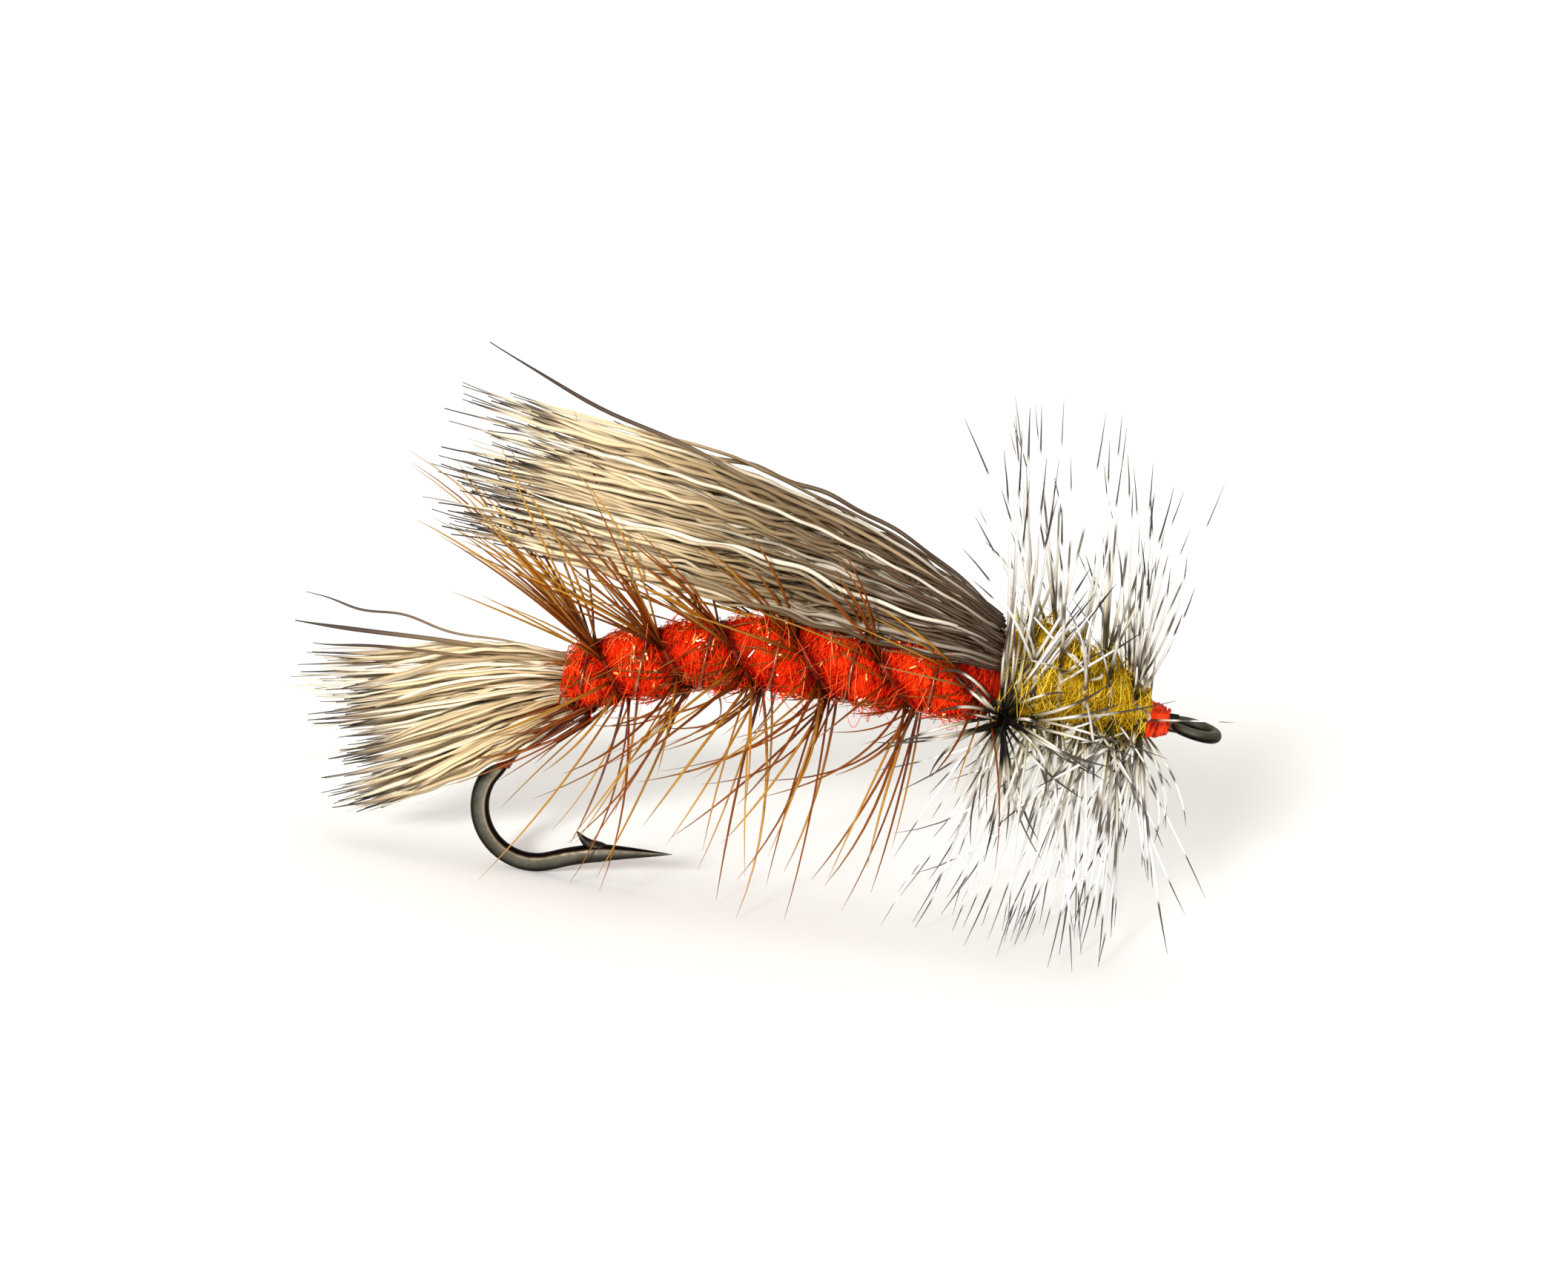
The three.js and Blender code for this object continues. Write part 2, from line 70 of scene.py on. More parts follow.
FUZZ = 420  # loose fibres that stand out of a dubbed body

# ---- curves ----


def unit(v):
    return v / np.maximum(np.linalg.norm(v, axis=-1, keepdims=True), 1e-9)


def xyz(*parts):
    """Rows of x, y, z from three arrays."""
    return np.stack(parts, axis=1)


def spline(pairs, count):
    """Evenly spaced points of a centripetal spline through (x, z) pairs, as count rows of x, y, z."""
    p = np.array([(x, 0.0, z) for x, z in pairs])
    p = np.vstack([2 * p[0] - p[1], p, 2 * p[-1] - p[-2]])
    dense = []
    for p0, p1, p2, p3 in zip(p, p[1:], p[2:], p[3:]):
        d0, d1, d2 = (np.sqrt(np.linalg.norm(b - a)) for a, b in ((p0, p1), (p1, p2), (p2, p3)))
        t1 = ((p1 - p0) / d0 - (p2 - p0) / (d0 + d1) + (p2 - p1) / d1) * d1
        t2 = ((p2 - p1) / d1 - (p3 - p1) / (d1 + d2) + (p3 - p2) / d2) * d1
        t = np.linspace(0, 1, 40, endpoint=False)[:, None]
        dense.append(p1 + t1 * t + (3 * (p2 - p1) - 2 * t1 - t2) * t ** 2
                     + (2 * (p1 - p2) + t1 + t2) * t ** 3)
    dense = np.vstack(dense + [p[-2:-1]])
    run = np.concatenate([[0], np.cumsum(np.linalg.norm(np.diff(dense, axis=0), axis=1))])
    even = np.linspace(0, run[-1], count)
    return xyz(*(np.interp(even, run, dense[:, i]) for i in range(3)))


def graph(pairs, x):
    return np.interp(x, [a for a, _ in pairs], [b for _, b in pairs])


def smooth_graph(pairs, x):
    """A graph with its corners rounded off."""
    return sum(graph(pairs, np.asarray(x) + d) for d in (-0.5, -0.25, 0, 0.25, 0.5)) / 5


def smoothstep(x, low, high):
    t = np.clip((x - low) / (high - low), 0, 1)
    return t * t * (3 - 2 * t)


abdomen_points = spline(ABDOMEN_LINE, 400)
thorax_points = spline(THORAX_LINE, 400)


def height(line, x):
    return np.interp(x, line[:, 0], line[:, 2])


def turn_x(wind, turn):
    return wind["rear"] + wind["pitch"] * turn + wind["growth"] * turn ** 2


def skewed(wind, turn):
    """The turn count with the near side of each turn wound at a steeper slope than the far side."""
    return turn + wind["skew"] * np.sin(TAU * (turn - 0.75))


def turn_at(wind, x):
    """How many turns of the feather lie behind x."""
    turns = np.linspace(-3, 9, 600)
    return np.interp(x, turn_x(wind, turns), turns)


def beside(line, x, radius, angle):
    """Points beside the centreline at x, turned from straight down towards +Y."""
    x, radius, angle = np.broadcast_arrays(x, radius, angle)
    return np.stack([x, radius * np.sin(angle), height(line, x) - radius * np.cos(angle)], axis=-1)


# ---- meshes ----


def added(name, data):
    """An object with the given data, in the scene."""
    made = bpy.data.objects.new(name, data)
    bpy.context.scene.collection.objects.link(made)
    return made


def make(name, verts, faces, values, mat, slot, *nodes):
    """A mesh piece in millimetres, with values at its points, that rides on the root."""
    mesh = bpy.data.meshes.new(name)
    mesh.from_pydata((np.asarray(verts) * MM).tolist(), [], [list(map(int, f)) for f in faces])
    mesh.validate()
    for key, value in values.items():
        layer = mesh.attributes.new(key, "FLOAT", "POINT")
        layer.data.foreach_set("value", np.asarray(value, np.float32))
    mesh.polygons.foreach_set("use_smooth", [True] * len(mesh.polygons))
    mesh.materials.append(mat)
    piece = added(name, mesh)
    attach(piece, "root")
    if nodes:
        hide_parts(*nodes)


def tubes(paths, radii, sides=5, flat=1.0, seed=0):
    """Closed tubes along many paths of as many points: vertices, faces, share along and tube index. flat
    squashes each section in one direction."""
    paths = np.asarray(paths, float)
    count, steps, _ = paths.shape
    radii = np.broadcast_to(radii, (count, steps))
    ahead = unit(np.gradient(paths, axis=1))
    mean = unit(paths[:, -1] - paths[:, 0] + 1e-6)
    turn = seeded(seed).normal(size=(count, 3))
    ref = unit(turn - (turn * mean).sum(1, keepdims=True) * mean)[:, None, :]
    side = unit(ref - (ref * ahead).sum(2, keepdims=True) * ahead)
    up = np.cross(ahead, side)
    angle = np.arange(sides) / sides * TAU
    ring = (side[:, :, None, :] * np.cos(angle)[None, None, :, None]
            + up[:, :, None, :] * np.sin(angle)[None, None, :, None] * flat)
    verts = paths[:, :, None, :] + ring * radii[:, :, None, None]
    index = np.arange(count * steps * sides).reshape(count, steps, sides)
    a, b = index[:, :-1], index[:, 1:]
    quads = np.stack([a, np.roll(a, -1, 2), np.roll(b, -1, 2), b], axis=-1).reshape(-1, 4)
    faces = quads.tolist() + index[:, 0, ::-1].tolist() + index[:, -1].tolist()
    along = np.broadcast_to(np.linspace(0, 1, steps)[None, :, None], (count, steps, sides)).ravel()
    owner = np.broadcast_to(np.arange(count)[:, None, None], (count, steps, sides)).ravel()
    return verts.reshape(-1, 3), faces, along, owner


def skin(index):
    """Quads between neighbouring rings in a grid of vertex numbers, with a face over each end."""
    a, b = index[:-1], index[1:]
    quads = np.stack([a, np.roll(a, -1, 1), np.roll(b, -1, 1), b], axis=-1).reshape(-1, 4)
    return quads.tolist() + [index[0, ::-1].tolist(), index[-1].tolist()]


def helix_tube(path, radius, sides=8):
    """One closed tube along a path that turns a lot, its section carried along without twisting."""
    path = np.asarray(path, float)
    ahead = unit(np.gradient(path, axis=0))
    side = np.zeros_like(path)
    current = unit(np.cross(ahead[0], [0.3, 0.9, 0.2]))
    for i, t in enumerate(ahead):
        current = unit(current - np.dot(current, t) * t)
        side[i] = current
    up = np.cross(ahead, side)
    angle = np.arange(sides) / sides * TAU
    ring = side[:, None] * np.cos(angle)[None, :, None] + up[:, None] * np.sin(angle)[None, :, None]
    radius = np.broadcast_to(radius, len(path))
    verts = (path[:, None] + ring * radius[:, None, None]).reshape(-1, 3)
    return verts, skin(np.arange(len(verts)).reshape(len(path), sides))


def merge(parts):
    """Several (vertices, faces, values) as one."""
    verts, faces, values, start = [], [], {}, 0
    for v, f, extra in parts:
        verts.append(v)
        faces += [[i + start for i in face] for face in f]
        for key, value in extra.items():
            values.setdefault(key, []).append(np.broadcast_to(value, len(v)))
        start += len(v)
    return np.vstack(verts), faces, {k: np.concatenate(v) for k, v in values.items()}


def bezier(p0, p1, p2, p3, steps):
    """Cubic curves, one for each row of the four point arrays."""
    t = np.linspace(0, 1, steps)[None, :, None]
    p0, p1, p2, p3 = (np.asarray(p, float)[:, None, :] for p in (p0, p1, p2, p3))
    return p0 * (1 - t) ** 3 + 3 * p1 * t * (1 - t) ** 2 + 3 * p2 * t ** 2 * (1 - t) + p3 * t ** 3


def above_floor(paths):
    """The same strands, each shortened about its root until its lowest point clears the floor."""
    root = paths[:, :1]
    low = paths[..., 2].min(1)
    fits = np.clip((root[:, 0, 2] - FLOOR_CLEAR) / np.maximum(root[:, 0, 2] - low, 1e-6), 0, 1)
    return root + (paths - root) * fits[:, None, None]


def strands(name, paths, radii, tones, mat, slot, nodes=(), sides=5, flat=1.0, seed=0):
    """A piece made of many tubes, each with a tone of its own."""
    verts, faces, along, owner = tubes(above_floor(paths), radii, sides, flat, seed)
    values = {"along": along, "tone": np.asarray(tones)[owner]}
    make(name, verts, faces, values, mat, slot, *nodes)


# ---- materials ----


def material(name, roughness, metallic=0.0, **inputs):
    """A material with a Principled shader. inputs are its other sockets, with _ for a space."""
    mat = bpy.data.materials.new(name)
    mat.use_nodes = True
    shader = mat.node_tree.nodes["Principled BSDF"]
    shader.inputs["Roughness"].default_value = roughness
    shader.inputs["Metallic"].default_value = metallic
    for key, value in inputs.items():
        shader.inputs[key.replace("_", " ")].default_value = value
    return mat


def srgb(r, g, b):
    """An sRGB colour out of 255 as a linear one."""
    shares = (r / 255, g / 255, b / 255)
    return (*(c / 12.92 if c <= 0.04045 else ((c + 0.055) / 1.055) ** 2.4 for c in shares), 1.0)


def node(mat, kind, **settings):
    made = mat.node_tree.nodes.new("ShaderNode" + kind)
    for key, value in settings.items():
        if hasattr(made, key):
            setattr(made, key, value)
        else:
            made.inputs[key.replace("_", " ")].default_value = value
    return made


def link(mat, source, target):
    mat.node_tree.links.new(source, target)


def value_of(mat, key):
    return node(mat, "Attribute", attribute_name=key).outputs["Fac"]


def ramp(mat, factor, stops):
    """A colour ramp; a stop is a position with an sRGB colour out of 255, or with one linear colour."""
    made = node(mat, "ValToRGB")
    elements = made.color_ramp.elements
    while len(elements) < len(stops):
        elements.new(1.0)
    for element, (position, *shade) in zip(elements, stops):
        element.position = position
        element.color = srgb(*shade) if len(shade) == 3 else shade[0]
    link(mat, factor, made.inputs["Fac"])
    return made.outputs["Color"]


def fill(mat, sockets, values):
    """Links each value that is a socket, and sets the others."""
    for socket, value in zip(sockets, values):
        if isinstance(value, bpy.types.NodeSocket):
            link(mat, value, socket)
        else:
            socket.default_value = value


def mixed(mat, factor, a, b, blend="MIX"):
    made = node(mat, "Mix", data_type="RGBA", blend_type=blend)
    fill(mat, (made.inputs[0], made.inputs[6], made.inputs[7]), (factor, a, b))
    return made.outputs[2]


def multiplied(mat, base, amount, factor, dark, low=0.3, high=0.7):
    """The colour with dark multiplied into it where the factor is low."""
    return mixed(mat, amount, base, ramp(mat, factor, [(low, dark), (high, WHITE)]), "MULTIPLY")


def math_of(mat, operation, a, b):
    made = node(mat, "Math", operation=operation)
    fill(mat, made.inputs, (a, b))
    return made.outputs[0]


def noise_of(mat, scale, detail=3.0, stretch=None):
    """Noise in object space; scale is in features per millimetre."""
    made = node(mat, "TexNoise", Scale=scale / MM, Detail=detail)
    place = node(mat, "TexCoord").outputs["Object"]
    if stretch:
        mapping = node(mat, "Mapping")
        mapping.inputs["Scale"].default_value = stretch
        link(mat, place, mapping.inputs["Vector"])
        place = mapping.outputs["Vector"]
    link(mat, place, made.inputs["Vector"])
    return made.outputs["Fac"]


def shade_with(mat, socket, name):
    link(mat, socket, mat.node_tree.nodes["Principled BSDF"].inputs[name])


def color(mat, socket):
    shade_with(mat, socket, "Base Color")


def bump(mat, height_socket, depth, strength=0.5):
    made = node(mat, "Bump", Strength=strength, Distance=depth * MM)
    link(mat, height_socket, made.inputs["Height"])
    shade_with(mat, made.outputs["Normal"], "Normal")


def speckled(mat, scale, stops):
    """The colours of the stops, in patches; scale is in features per millimetre."""
    color(mat, ramp(mat, noise_of(mat, scale), stops))


def hair_material(name, stops, light, dark):
    """Hair whose colour runs along it, lighter or darker from hair to hair."""
    mat = material(name, 0.42, Specular_IOR_Level=0.22)
    along, tone = value_of(mat, "along"), value_of(mat, "tone")
    past_root = math_of(mat, "MULTIPLY", smooth_above(mat, along, -0.06, 0.2), 0.75)
    light_by = math_of(mat, "MULTIPLY", smooth_above(mat, tone, 0.55, 1.0), past_root)
    dark_by = math_of(mat, "MULTIPLY", smooth_above(mat, tone, 0.45, 0.0), 0.7)
    base = mixed(mat, light_by, ramp(mat, along, stops), light)
    base = mixed(mat, dark_by, base, dark, "MULTIPLY")
    color(mat, multiplied(mat, base, 0.25, noise_of(mat, 2.2, 2.0), (0.55, 0.5, 0.45, 1)))
    bump(mat, noise_of(mat, 14.0, 2.0), 0.01, 0.3)
    return mat


def smooth_above(mat, factor, low, high):
    made = node(mat, "MapRange", interpolation_type="SMOOTHSTEP")
    made.inputs["From Min"].default_value = low
    made.inputs["From Max"].default_value = high
    link(mat, factor, made.inputs["Value"])
    return made.outputs["Result"]


wing_hair = hair_material("wing_hair", [
    (0.0, 56, 41, 28), (0.25, 84, 65, 46), (0.45, 108, 88, 61),
    (0.62, 152, 129, 94), (0.75, 204, 183, 144), (0.92, 212, 192, 156),
    (0.955, 96, 80, 64), (0.975, 36, 30, 28), (1.0, 26, 22, 22)],
    srgb(236, 226, 204), srgb(140, 120, 102))
tail_hair = hair_material("tail_hair", [
    (0.0, 118, 92, 62), (0.2, 170, 144, 104), (0.45, 202, 180, 138),
    (0.78, 210, 190, 152), (0.88, 156, 136, 108), (0.93, 62, 52, 46), (1.0, 38, 32, 32)],
    srgb(240, 230, 206), srgb(140, 116, 92))
stray_hair = hair_material("stray_hair", [
    (0.0, 160, 138, 104), (0.4, 120, 98, 72), (0.7, 72, 56, 44),
    (1.0, 34, 28, 26)], srgb(190, 174, 146), srgb(130, 112, 98))


def hackle_material(name, stops):
    """A barb whose colour runs along it, with its bands a little further out or in from barb to barb."""
    mat = material(name, 0.32, Specular_IOR_Level=0.12)
    tone = value_of(mat, "tone")
    shift = math_of(mat, "MULTIPLY", math_of(mat, "SUBTRACT", tone, 0.5), 0.16)
    base = ramp(mat, math_of(mat, "ADD", value_of(mat, "along"), shift), stops)
    color(mat, multiplied(mat, base, 0.5, tone, (0.45, 0.42, 0.4, 1), 0.0, 0.6))
    bump(mat, noise_of(mat, 16.0, 2.0), 0.008, 0.3)
    return mat


brown_barb = hackle_material("brown_barb", [
    (0.0, 62, 20, 2), (0.3, 104, 42, 2), (0.7, 124, 62, 4), (1.0, 122, 84, 36)])
ginger_barb = hackle_material("ginger_barb", [
    (0.0, 84, 34, 4), (0.18, 118, 62, 8), (0.36, 158, 104, 24), (0.75, 174, 124, 42),
    (1.0, 148, 118, 70)])
grizzly_barb = hackle_material("grizzly_barb", [
    (0.0, 58, 48, 26), (0.16, 74, 64, 42), (0.24, 196, 188, 164), (0.36, 226, 222, 210),
    (0.42, 104, 96, 86), (0.5, 96, 90, 82), (0.56, 240, 239, 236), (0.77, 246, 245, 244),
    (0.81, 74, 68, 64), (1.0, 50, 46, 44)])
pale_barb = hackle_material("pale_barb", [
    (0.0, 72, 60, 32), (0.13, 124, 110, 74), (0.24, 208, 201, 184), (0.6, 234, 232, 228),
    (0.8, 242, 241, 239), (0.84, 84, 78, 76), (1.0, 52, 48, 48)])
upright_barb = hackle_material("upright_barb", [
    (0.0, 34, 30, 18), (0.12, 60, 50, 30), (0.2, 170, 162, 138), (0.3, 90, 78, 58),
    (0.42, 206, 200, 190), (0.76, 232, 230, 226), (0.81, 52, 44, 42), (1.0, 36, 30, 30)])
black_barb = hackle_material("black_barb", [
    (0.0, 12, 10, 8), (0.26, 22, 18, 12), (0.36, 150, 140, 116), (0.56, 220, 214, 202),
    (0.66, 70, 62, 54), (1.0, 52, 48, 44)])

stem_mat = material("hackle_stem", 0.6, Specular_IOR_Level=0.1)
speckled(stem_mat, 3.0, [(0.3, 64, 12, 2), (0.7, 120, 34, 6)])
bump(stem_mat, noise_of(stem_mat, 12.0), 0.02)

grizzly_stem = material("grizzly_stem", 0.45)
speckled(grizzly_stem, 1.6, [(0.42, 40, 36, 32), (0.58, 170, 160, 140)])
bump(grizzly_stem, noise_of(grizzly_stem, 12.0), 0.02)

hook_mat = material("hook_bronze", 0.3, 1.0)
patina = noise_of(hook_mat, 0.7, 4.0)
# painted reflection: across the wire the colour is light on the flat faces, with a brighter band towards the
# inner edge, and dark towards both edges; the eye is painted lighter on top and darker below, the barb a steady
# darker tone
painted_reflection = ramp(hook_mat, value_of(hook_mat, "inner"), [
    (0.0, 14, 12, 10), (0.12, 40, 37, 32), (0.4, 72, 69, 60), (0.66, 96, 93, 82),
    (0.74, 128, 120, 100), (0.8, 58, 44, 34), (0.88, 20, 12, 9), (1.0, 14, 9, 8)])
color(hook_mat, multiplied(hook_mat, painted_reflection, 0.8, patina, (0.45, 0.42, 0.36, 1)))
shade_with(hook_mat, smooth_above(hook_mat, noise_of(hook_mat, 5.0), -0.9, 1.6), "Roughness")
bump(hook_mat, noise_of(hook_mat, 9.0), 0.006, 0.25)


def thread_material(name, dark, light, roughness):
    mat = material(name, roughness, Specular_IOR_Level=0.15)
    strand = noise_of(mat, 3.2, 3.0, (0.6, 1.0, 1.0))
    color(mat, ramp(mat, strand, [(0.3, *dark), (0.65, *light)]))
    bump(mat, strand, 0.02, 0.4)
    return mat


head_mat = thread_material("head_thread", (120, 14, 2), (226, 58, 6), 0.6)
dark_thread = thread_material("dark_thread", (70, 22, 10), (122, 46, 20), 0.5)
base_thread = thread_material("base_thread", (190, 44, 20), (226, 74, 40), 0.55)

rib_mat = material("rib_wire", 0.24, 0.6)
speckled(rib_mat, 1.1, [(0.4, 104, 34, 14), (0.6, 160, 84, 52), (0.72, 244, 196, 156)])
bump(rib_mat, noise_of(rib_mat, 8.0), 0.01, 0.3)


def dubbing_material(name, stops, shadow=None):
    """Packed fur: fine fibres in several shades, darker in the grooves if given a shadow."""
    mat = material(name, 0.75, Specular_IOR_Level=0.05)
    shade = noise_of(mat, 1.3, 4.0)
    fine = noise_of(mat, 7.0, 3.0, (0.5, 1.0, 1.0))
    both = math_of(mat, "ADD", math_of(mat, "MULTIPLY", shade, 0.5), math_of(mat, "MULTIPLY", fine, 0.5))
    base = ramp(mat, both, stops)
    if shadow:
        base = mixed(mat, value_of(mat, "shade"), base, shadow)
    color(mat, base)
    bump(mat, fine, 0.05, 0.7)
    return mat


def fibre_material(name, stops, roughness=0.6, **inputs):
    mat = material(name, roughness, **inputs)
    base = ramp(mat, value_of(mat, "tone"), stops)
    color(mat, multiplied(mat, base, 0.3, noise_of(mat, 4.0), (0.6, 0.55, 0.5, 1)))
    bump(mat, noise_of(mat, 16.0, 2.0), 0.006, 0.3)
    return mat


red_core = dubbing_material("red_dubbing", [
    (0.3, 184, 20, 2), (0.5, 230, 46, 4), (0.7, 248, 76, 12)], shadow=srgb(64, 8, 3))
red_fibre = fibre_material("red_fibre", [
    (0.0, 66, 8, 3), (0.2, 184, 20, 2), (0.5, 234, 42, 4), (0.8, 252, 76, 15),
    (1.0, 255, 140, 80)], Specular_IOR_Level=0.05)
# flash fibre is real in the dubbing; its colour running up to near white is a painted glint
flash_glint_fibre = fibre_material("flash_glint_fibre", [
    (0.0, 252, 110, 30), (0.5, 254, 190, 100), (1.0, 255, 252, 232)],
    0.2, Coat_Weight=0.7, Coat_Roughness=0.12)
amber_core = dubbing_material("amber_dubbing", [
    (0.3, 126, 86, 2), (0.5, 180, 132, 6), (0.7, 208, 166, 18)])
amber_fibre = fibre_material("amber_fibre", [
    (0.0, 136, 94, 4), (0.5, 188, 144, 8), (0.85, 214, 178, 36), (1.0, 236, 222, 120)],
    Specular_IOR_Level=0.05)

# ---- hook ----

shank = [(13.4, SHANK_Z), (10, SHANK_Z), (6, SHANK_Z), (2, 8.26), (-0.5, 8.02), (-2.4, 7.5), (-4.2, 6.72),
         (-5.6, 5.74), (-6.6, 4.78), (-7.5, 3.98)]
bend = [(BEND_X + BEND_R * math.cos(math.radians(a)), BEND_Z + BEND_R * math.sin(math.radians(a)))
        for a in np.linspace(BEND_START, BEND_END, 9)]
wire = spline(shank + bend + [(-5, 0.72), (-4.1, 0.98), POINT], 400)
share = np.linspace(0, 1, len(wire))


def hook_wire():
    """The round wire, forged flat on both sides of the bend and drawn out to the point."""
    sides = 28
    forged = smoothstep(share, 0.67, 0.72) * (1 - smoothstep(share, 0.88, 0.92))
    taper = np.where(share < 0.925, 1, np.maximum((1 - share) / 0.075, 0.02) ** 0.85)
    radius = WIRE_R * taper
    limit = radius + (FORGED_HALF - radius) * forged
    ahead = unit(np.gradient(wire, axis=0))
    side = np.array([0, 1.0, 0])
    up = np.cross(ahead, side)
    angle = (np.arange(sides) + 0.5) / sides * TAU
    wide = radius[:, None] * np.cos(angle)
    power = 4 + 10 * forged[:, None]
    squeezed = wide / (1 + np.abs(wide / limit[:, None]) ** power) ** (1 / power)
    across = np.where(forged[:, None] > 0.02, squeezed, wide)
    tall = radius[:, None] * np.sin(angle)
    verts = wire[:, None] + up[:, None] * tall[..., None] + side * across[..., None]
    index = np.arange(len(wire) * sides).reshape(len(wire), sides)
    a, b = index[:-1], index[1:]
    quads = np.stack([a, b, np.roll(b, -1, 1), np.roll(a, -1, 1)], axis=-1).reshape(-1, 4)
    # this value runs round the section, from the outer edge (0) through the flat faces (0.5) to the inner edge
    # (1); the hook's material paints its reflection from it
    inner = np.broadcast_to(np.sin(angle) / 2 + 0.5, index.shape).ravel()
    faces = quads.tolist() + [index[0].tolist(), index[-1, ::-1].tolist()]
    return verts.reshape(-1, 3), faces, {"inner": inner}


def hook_eye():
    """The wire bent round into a ring and thinned towards the front, its end laid against the shank."""
    sides, thinnest = 20, 0.16
    angle = np.radians(np.linspace(172, -166, 90))
    ring = xyz(EYE_LONG * np.cos(angle), EYE_WIDE * np.sin(angle), np.zeros_like(angle))
    lead = np.array([[-1.5, 0.05, 0.0], [-1.15, 0.06, 0.0], [-0.92, 0.08, 0.0]])
    path = np.vstack([lead, ring])
    dip, roll = math.radians(EYE_DIP), math.radians(EYE_ROLL)
    path = xyz(path[:, 0], path[:, 1] * math.cos(roll), path[:, 1] * math.sin(roll))
    turned = xyz(path[:, 0] * math.cos(dip), path[:, 1], path[:, 2] - path[:, 0] * math.sin(dip))
    turned += [EYE_X, 0, SHANK_Z - EYE_LONG * math.sin(dip)]
    thick = thinnest + (EYE_WIRE_R - thinnest) * np.cos(angle / 2) ** 2
    radius = np.concatenate([[0.25, 0.22, 0.17], thick])
    radius[-10:] *= np.linspace(1, 0.5, 10)
    verts, faces = helix_tube(turned, radius, sides)
    # the value rises with height in the ring, so the material paints a highlight on the eye's top and shade on
    # its bottom
    lift = (verts[:, 2] - np.repeat(turned[:, 2], sides)) / np.repeat(radius, sides)
    return verts, faces, {"inner": np.clip(0.2 + 0.5 * lift, 0, 1)}


def hook_barb():
    """The barb cut up from the wire behind the point."""
    path = spline([(-3.5, 0.98), (-4.1, 1.1), (-4.6, 1.24), (-5.0, 1.56)], 24)
    t = np.linspace(0, 1, len(path))
    radius = 0.24 * (1 - t ** 2.4) * (0.3 + 0.7 * smoothstep(t, 0, 0.45)) + 0.012
    return *helix_tube(path, radius, 12), {"inner": 0.2}


make("hook_visual", *merge([hook_wire(), hook_eye(), hook_barb()]), hook_mat, "hook_wire", "hook")

# ---- thread ----


def wound(line, start, end, radius_at, pitch, steps=22, phase=0.0, hand=1):
    """A helix over a (x, z) line between two x values, of the given radius at x."""
    turns = abs(end - start) / pitch
    t = np.linspace(0, 1, int(turns * steps))
    x = start + (end - start) * t
    angle = hand * TAU * turns * t + phase
    return beside(line, x, radius_at(x), angle)


HEAD_LINE = np.array([[8.0, 0, SHANK_Z], [20.0, 0, SHANK_Z]])
HEAD_START, HEAD_END = 12.42, 13.12


def thread_head():
    """Two layers of wraps over a core, and the whip finish: crossing strands pulled tight over them."""
    made = []
    wander_x = np.linspace(HEAD[0][0], HEAD[-1][0], 9)
    wander = seeded(90).normal(0, 0.02, 9)
    for layer, (pitch, hand, grow) in enumerate(((0.12, 1, -0.1), (0.17, -1, -0.07))):
        radius_at = lambda x: graph(HEAD, x) + grow + np.interp(x, wander_x, wander)
        path = wound(HEAD_LINE, HEAD_START, HEAD_END - 0.1 * layer, radius_at, pitch, hand=hand)
        path[:, 0] += 0.05 * np.sin(np.linspace(0, 31, len(path)) + 2 * layer)
        made.append(helix_tube(path, 0.062, 7))
    core = wound(HEAD_LINE, HEAD_START, HEAD_END, lambda x: 0 * x, 2.0)
    made.append(helix_tube(core, np.maximum(graph(HEAD, core[:, 0]) - 0.13, 0.1), 24))
    for k in range(4):
        start = 12.45 + 0.08 * k
        path = wound(HEAD_LINE, start, start + 0.5, lambda x: graph(HEAD, x) - 0.04, 0.9, 40, 1.3 * k, -1)
        made.append(helix_tube(path, 0.05, 7))
    return merge([(verts, faces, {}) for verts, faces in made])


make("head_wraps", *thread_head(), head_mat, "head_thread", "thread_head")


def along_wire(x):
    """Share of the wire at which its shank or the first part of its bend is at x."""
    reach = share < 0.74
    return np.interp(-np.asarray(x), -wire[reach, 0], share[reach])


def wire_wraps(start, end, radii, pitch, thread_r, phase=0.0):
    """Thread wound round the bent wire between two x values, at radii that are evenly spaced along it."""
    s0, s1 = along_wire(start), along_wire(end)
    length = abs(s1 - s0) * np.linalg.norm(np.diff(wire, axis=0), axis=1).sum()
    turns = length / pitch
    t = np.linspace(0, 1, int(turns * 20))
    s = s0 + (s1 - s0) * t
    middle = xyz(*(np.interp(s, share, wire[:, i]) for i in range(3)))
    ahead = unit(np.gradient(middle, axis=0))
    side = np.array([0, 1.0, 0])
    up = np.cross(ahead, side)
    angle = TAU * turns * t + phase
    radius = np.interp(t, np.linspace(0, 1, len(radii)), radii)
    path = middle + radius[:, None] * (up * np.cos(angle)[:, None] + side * np.sin(angle)[:, None])
    return *helix_tube(path, thread_r, 6), {}


rear_wraps = merge([wire_wraps(-5.0, -7.8, [0.38, 0.38, 0.36, 0.32], 0.1, 0.06),
                    wire_wraps(-5.1, -7.2, [0.41, 0.41, 0.38, 0.35], 0.62, 0.055, 1.0),
                    wire_wraps(-5.1, -6.9, [0.4, 0.42, 0.38, 0.36], 1.1, 0.045, 2.6)])
make("bend_wraps", *rear_wraps, dark_thread, "dark_thread", "bend_wrap")

# ---- dubbing ----


# the centreline, the outline, the feather wound on it and how far the fur bulges between its turns
abdomen = (abdomen_points, ABDOMEN, BODY_HACKLE, BODY_BULGE)
thorax = (thorax_points, THORAX, FRONT_HACKLE, FRONT_BULGE)


def wrap_distance(wind, x, angle):
    """Distance along x from the feather's stem, in turns: 0 on it and 0.5 halfway between two."""
    share_of = np.mod(turn_at(wind, x) - skewed(wind, angle / TAU), 1.0)
    return np.minimum(share_of, 1 - share_of)


def rib_distance(wind, x, angle):
    """The same for the wire, which is wound the other way."""
    turn = -angle / TAU
    share_of = np.mod(turn_at(wind, x) - turn - wind["skew"] * np.cos(TAU * turn), 1.0)
    return np.minimum(share_of, 1 - share_of)


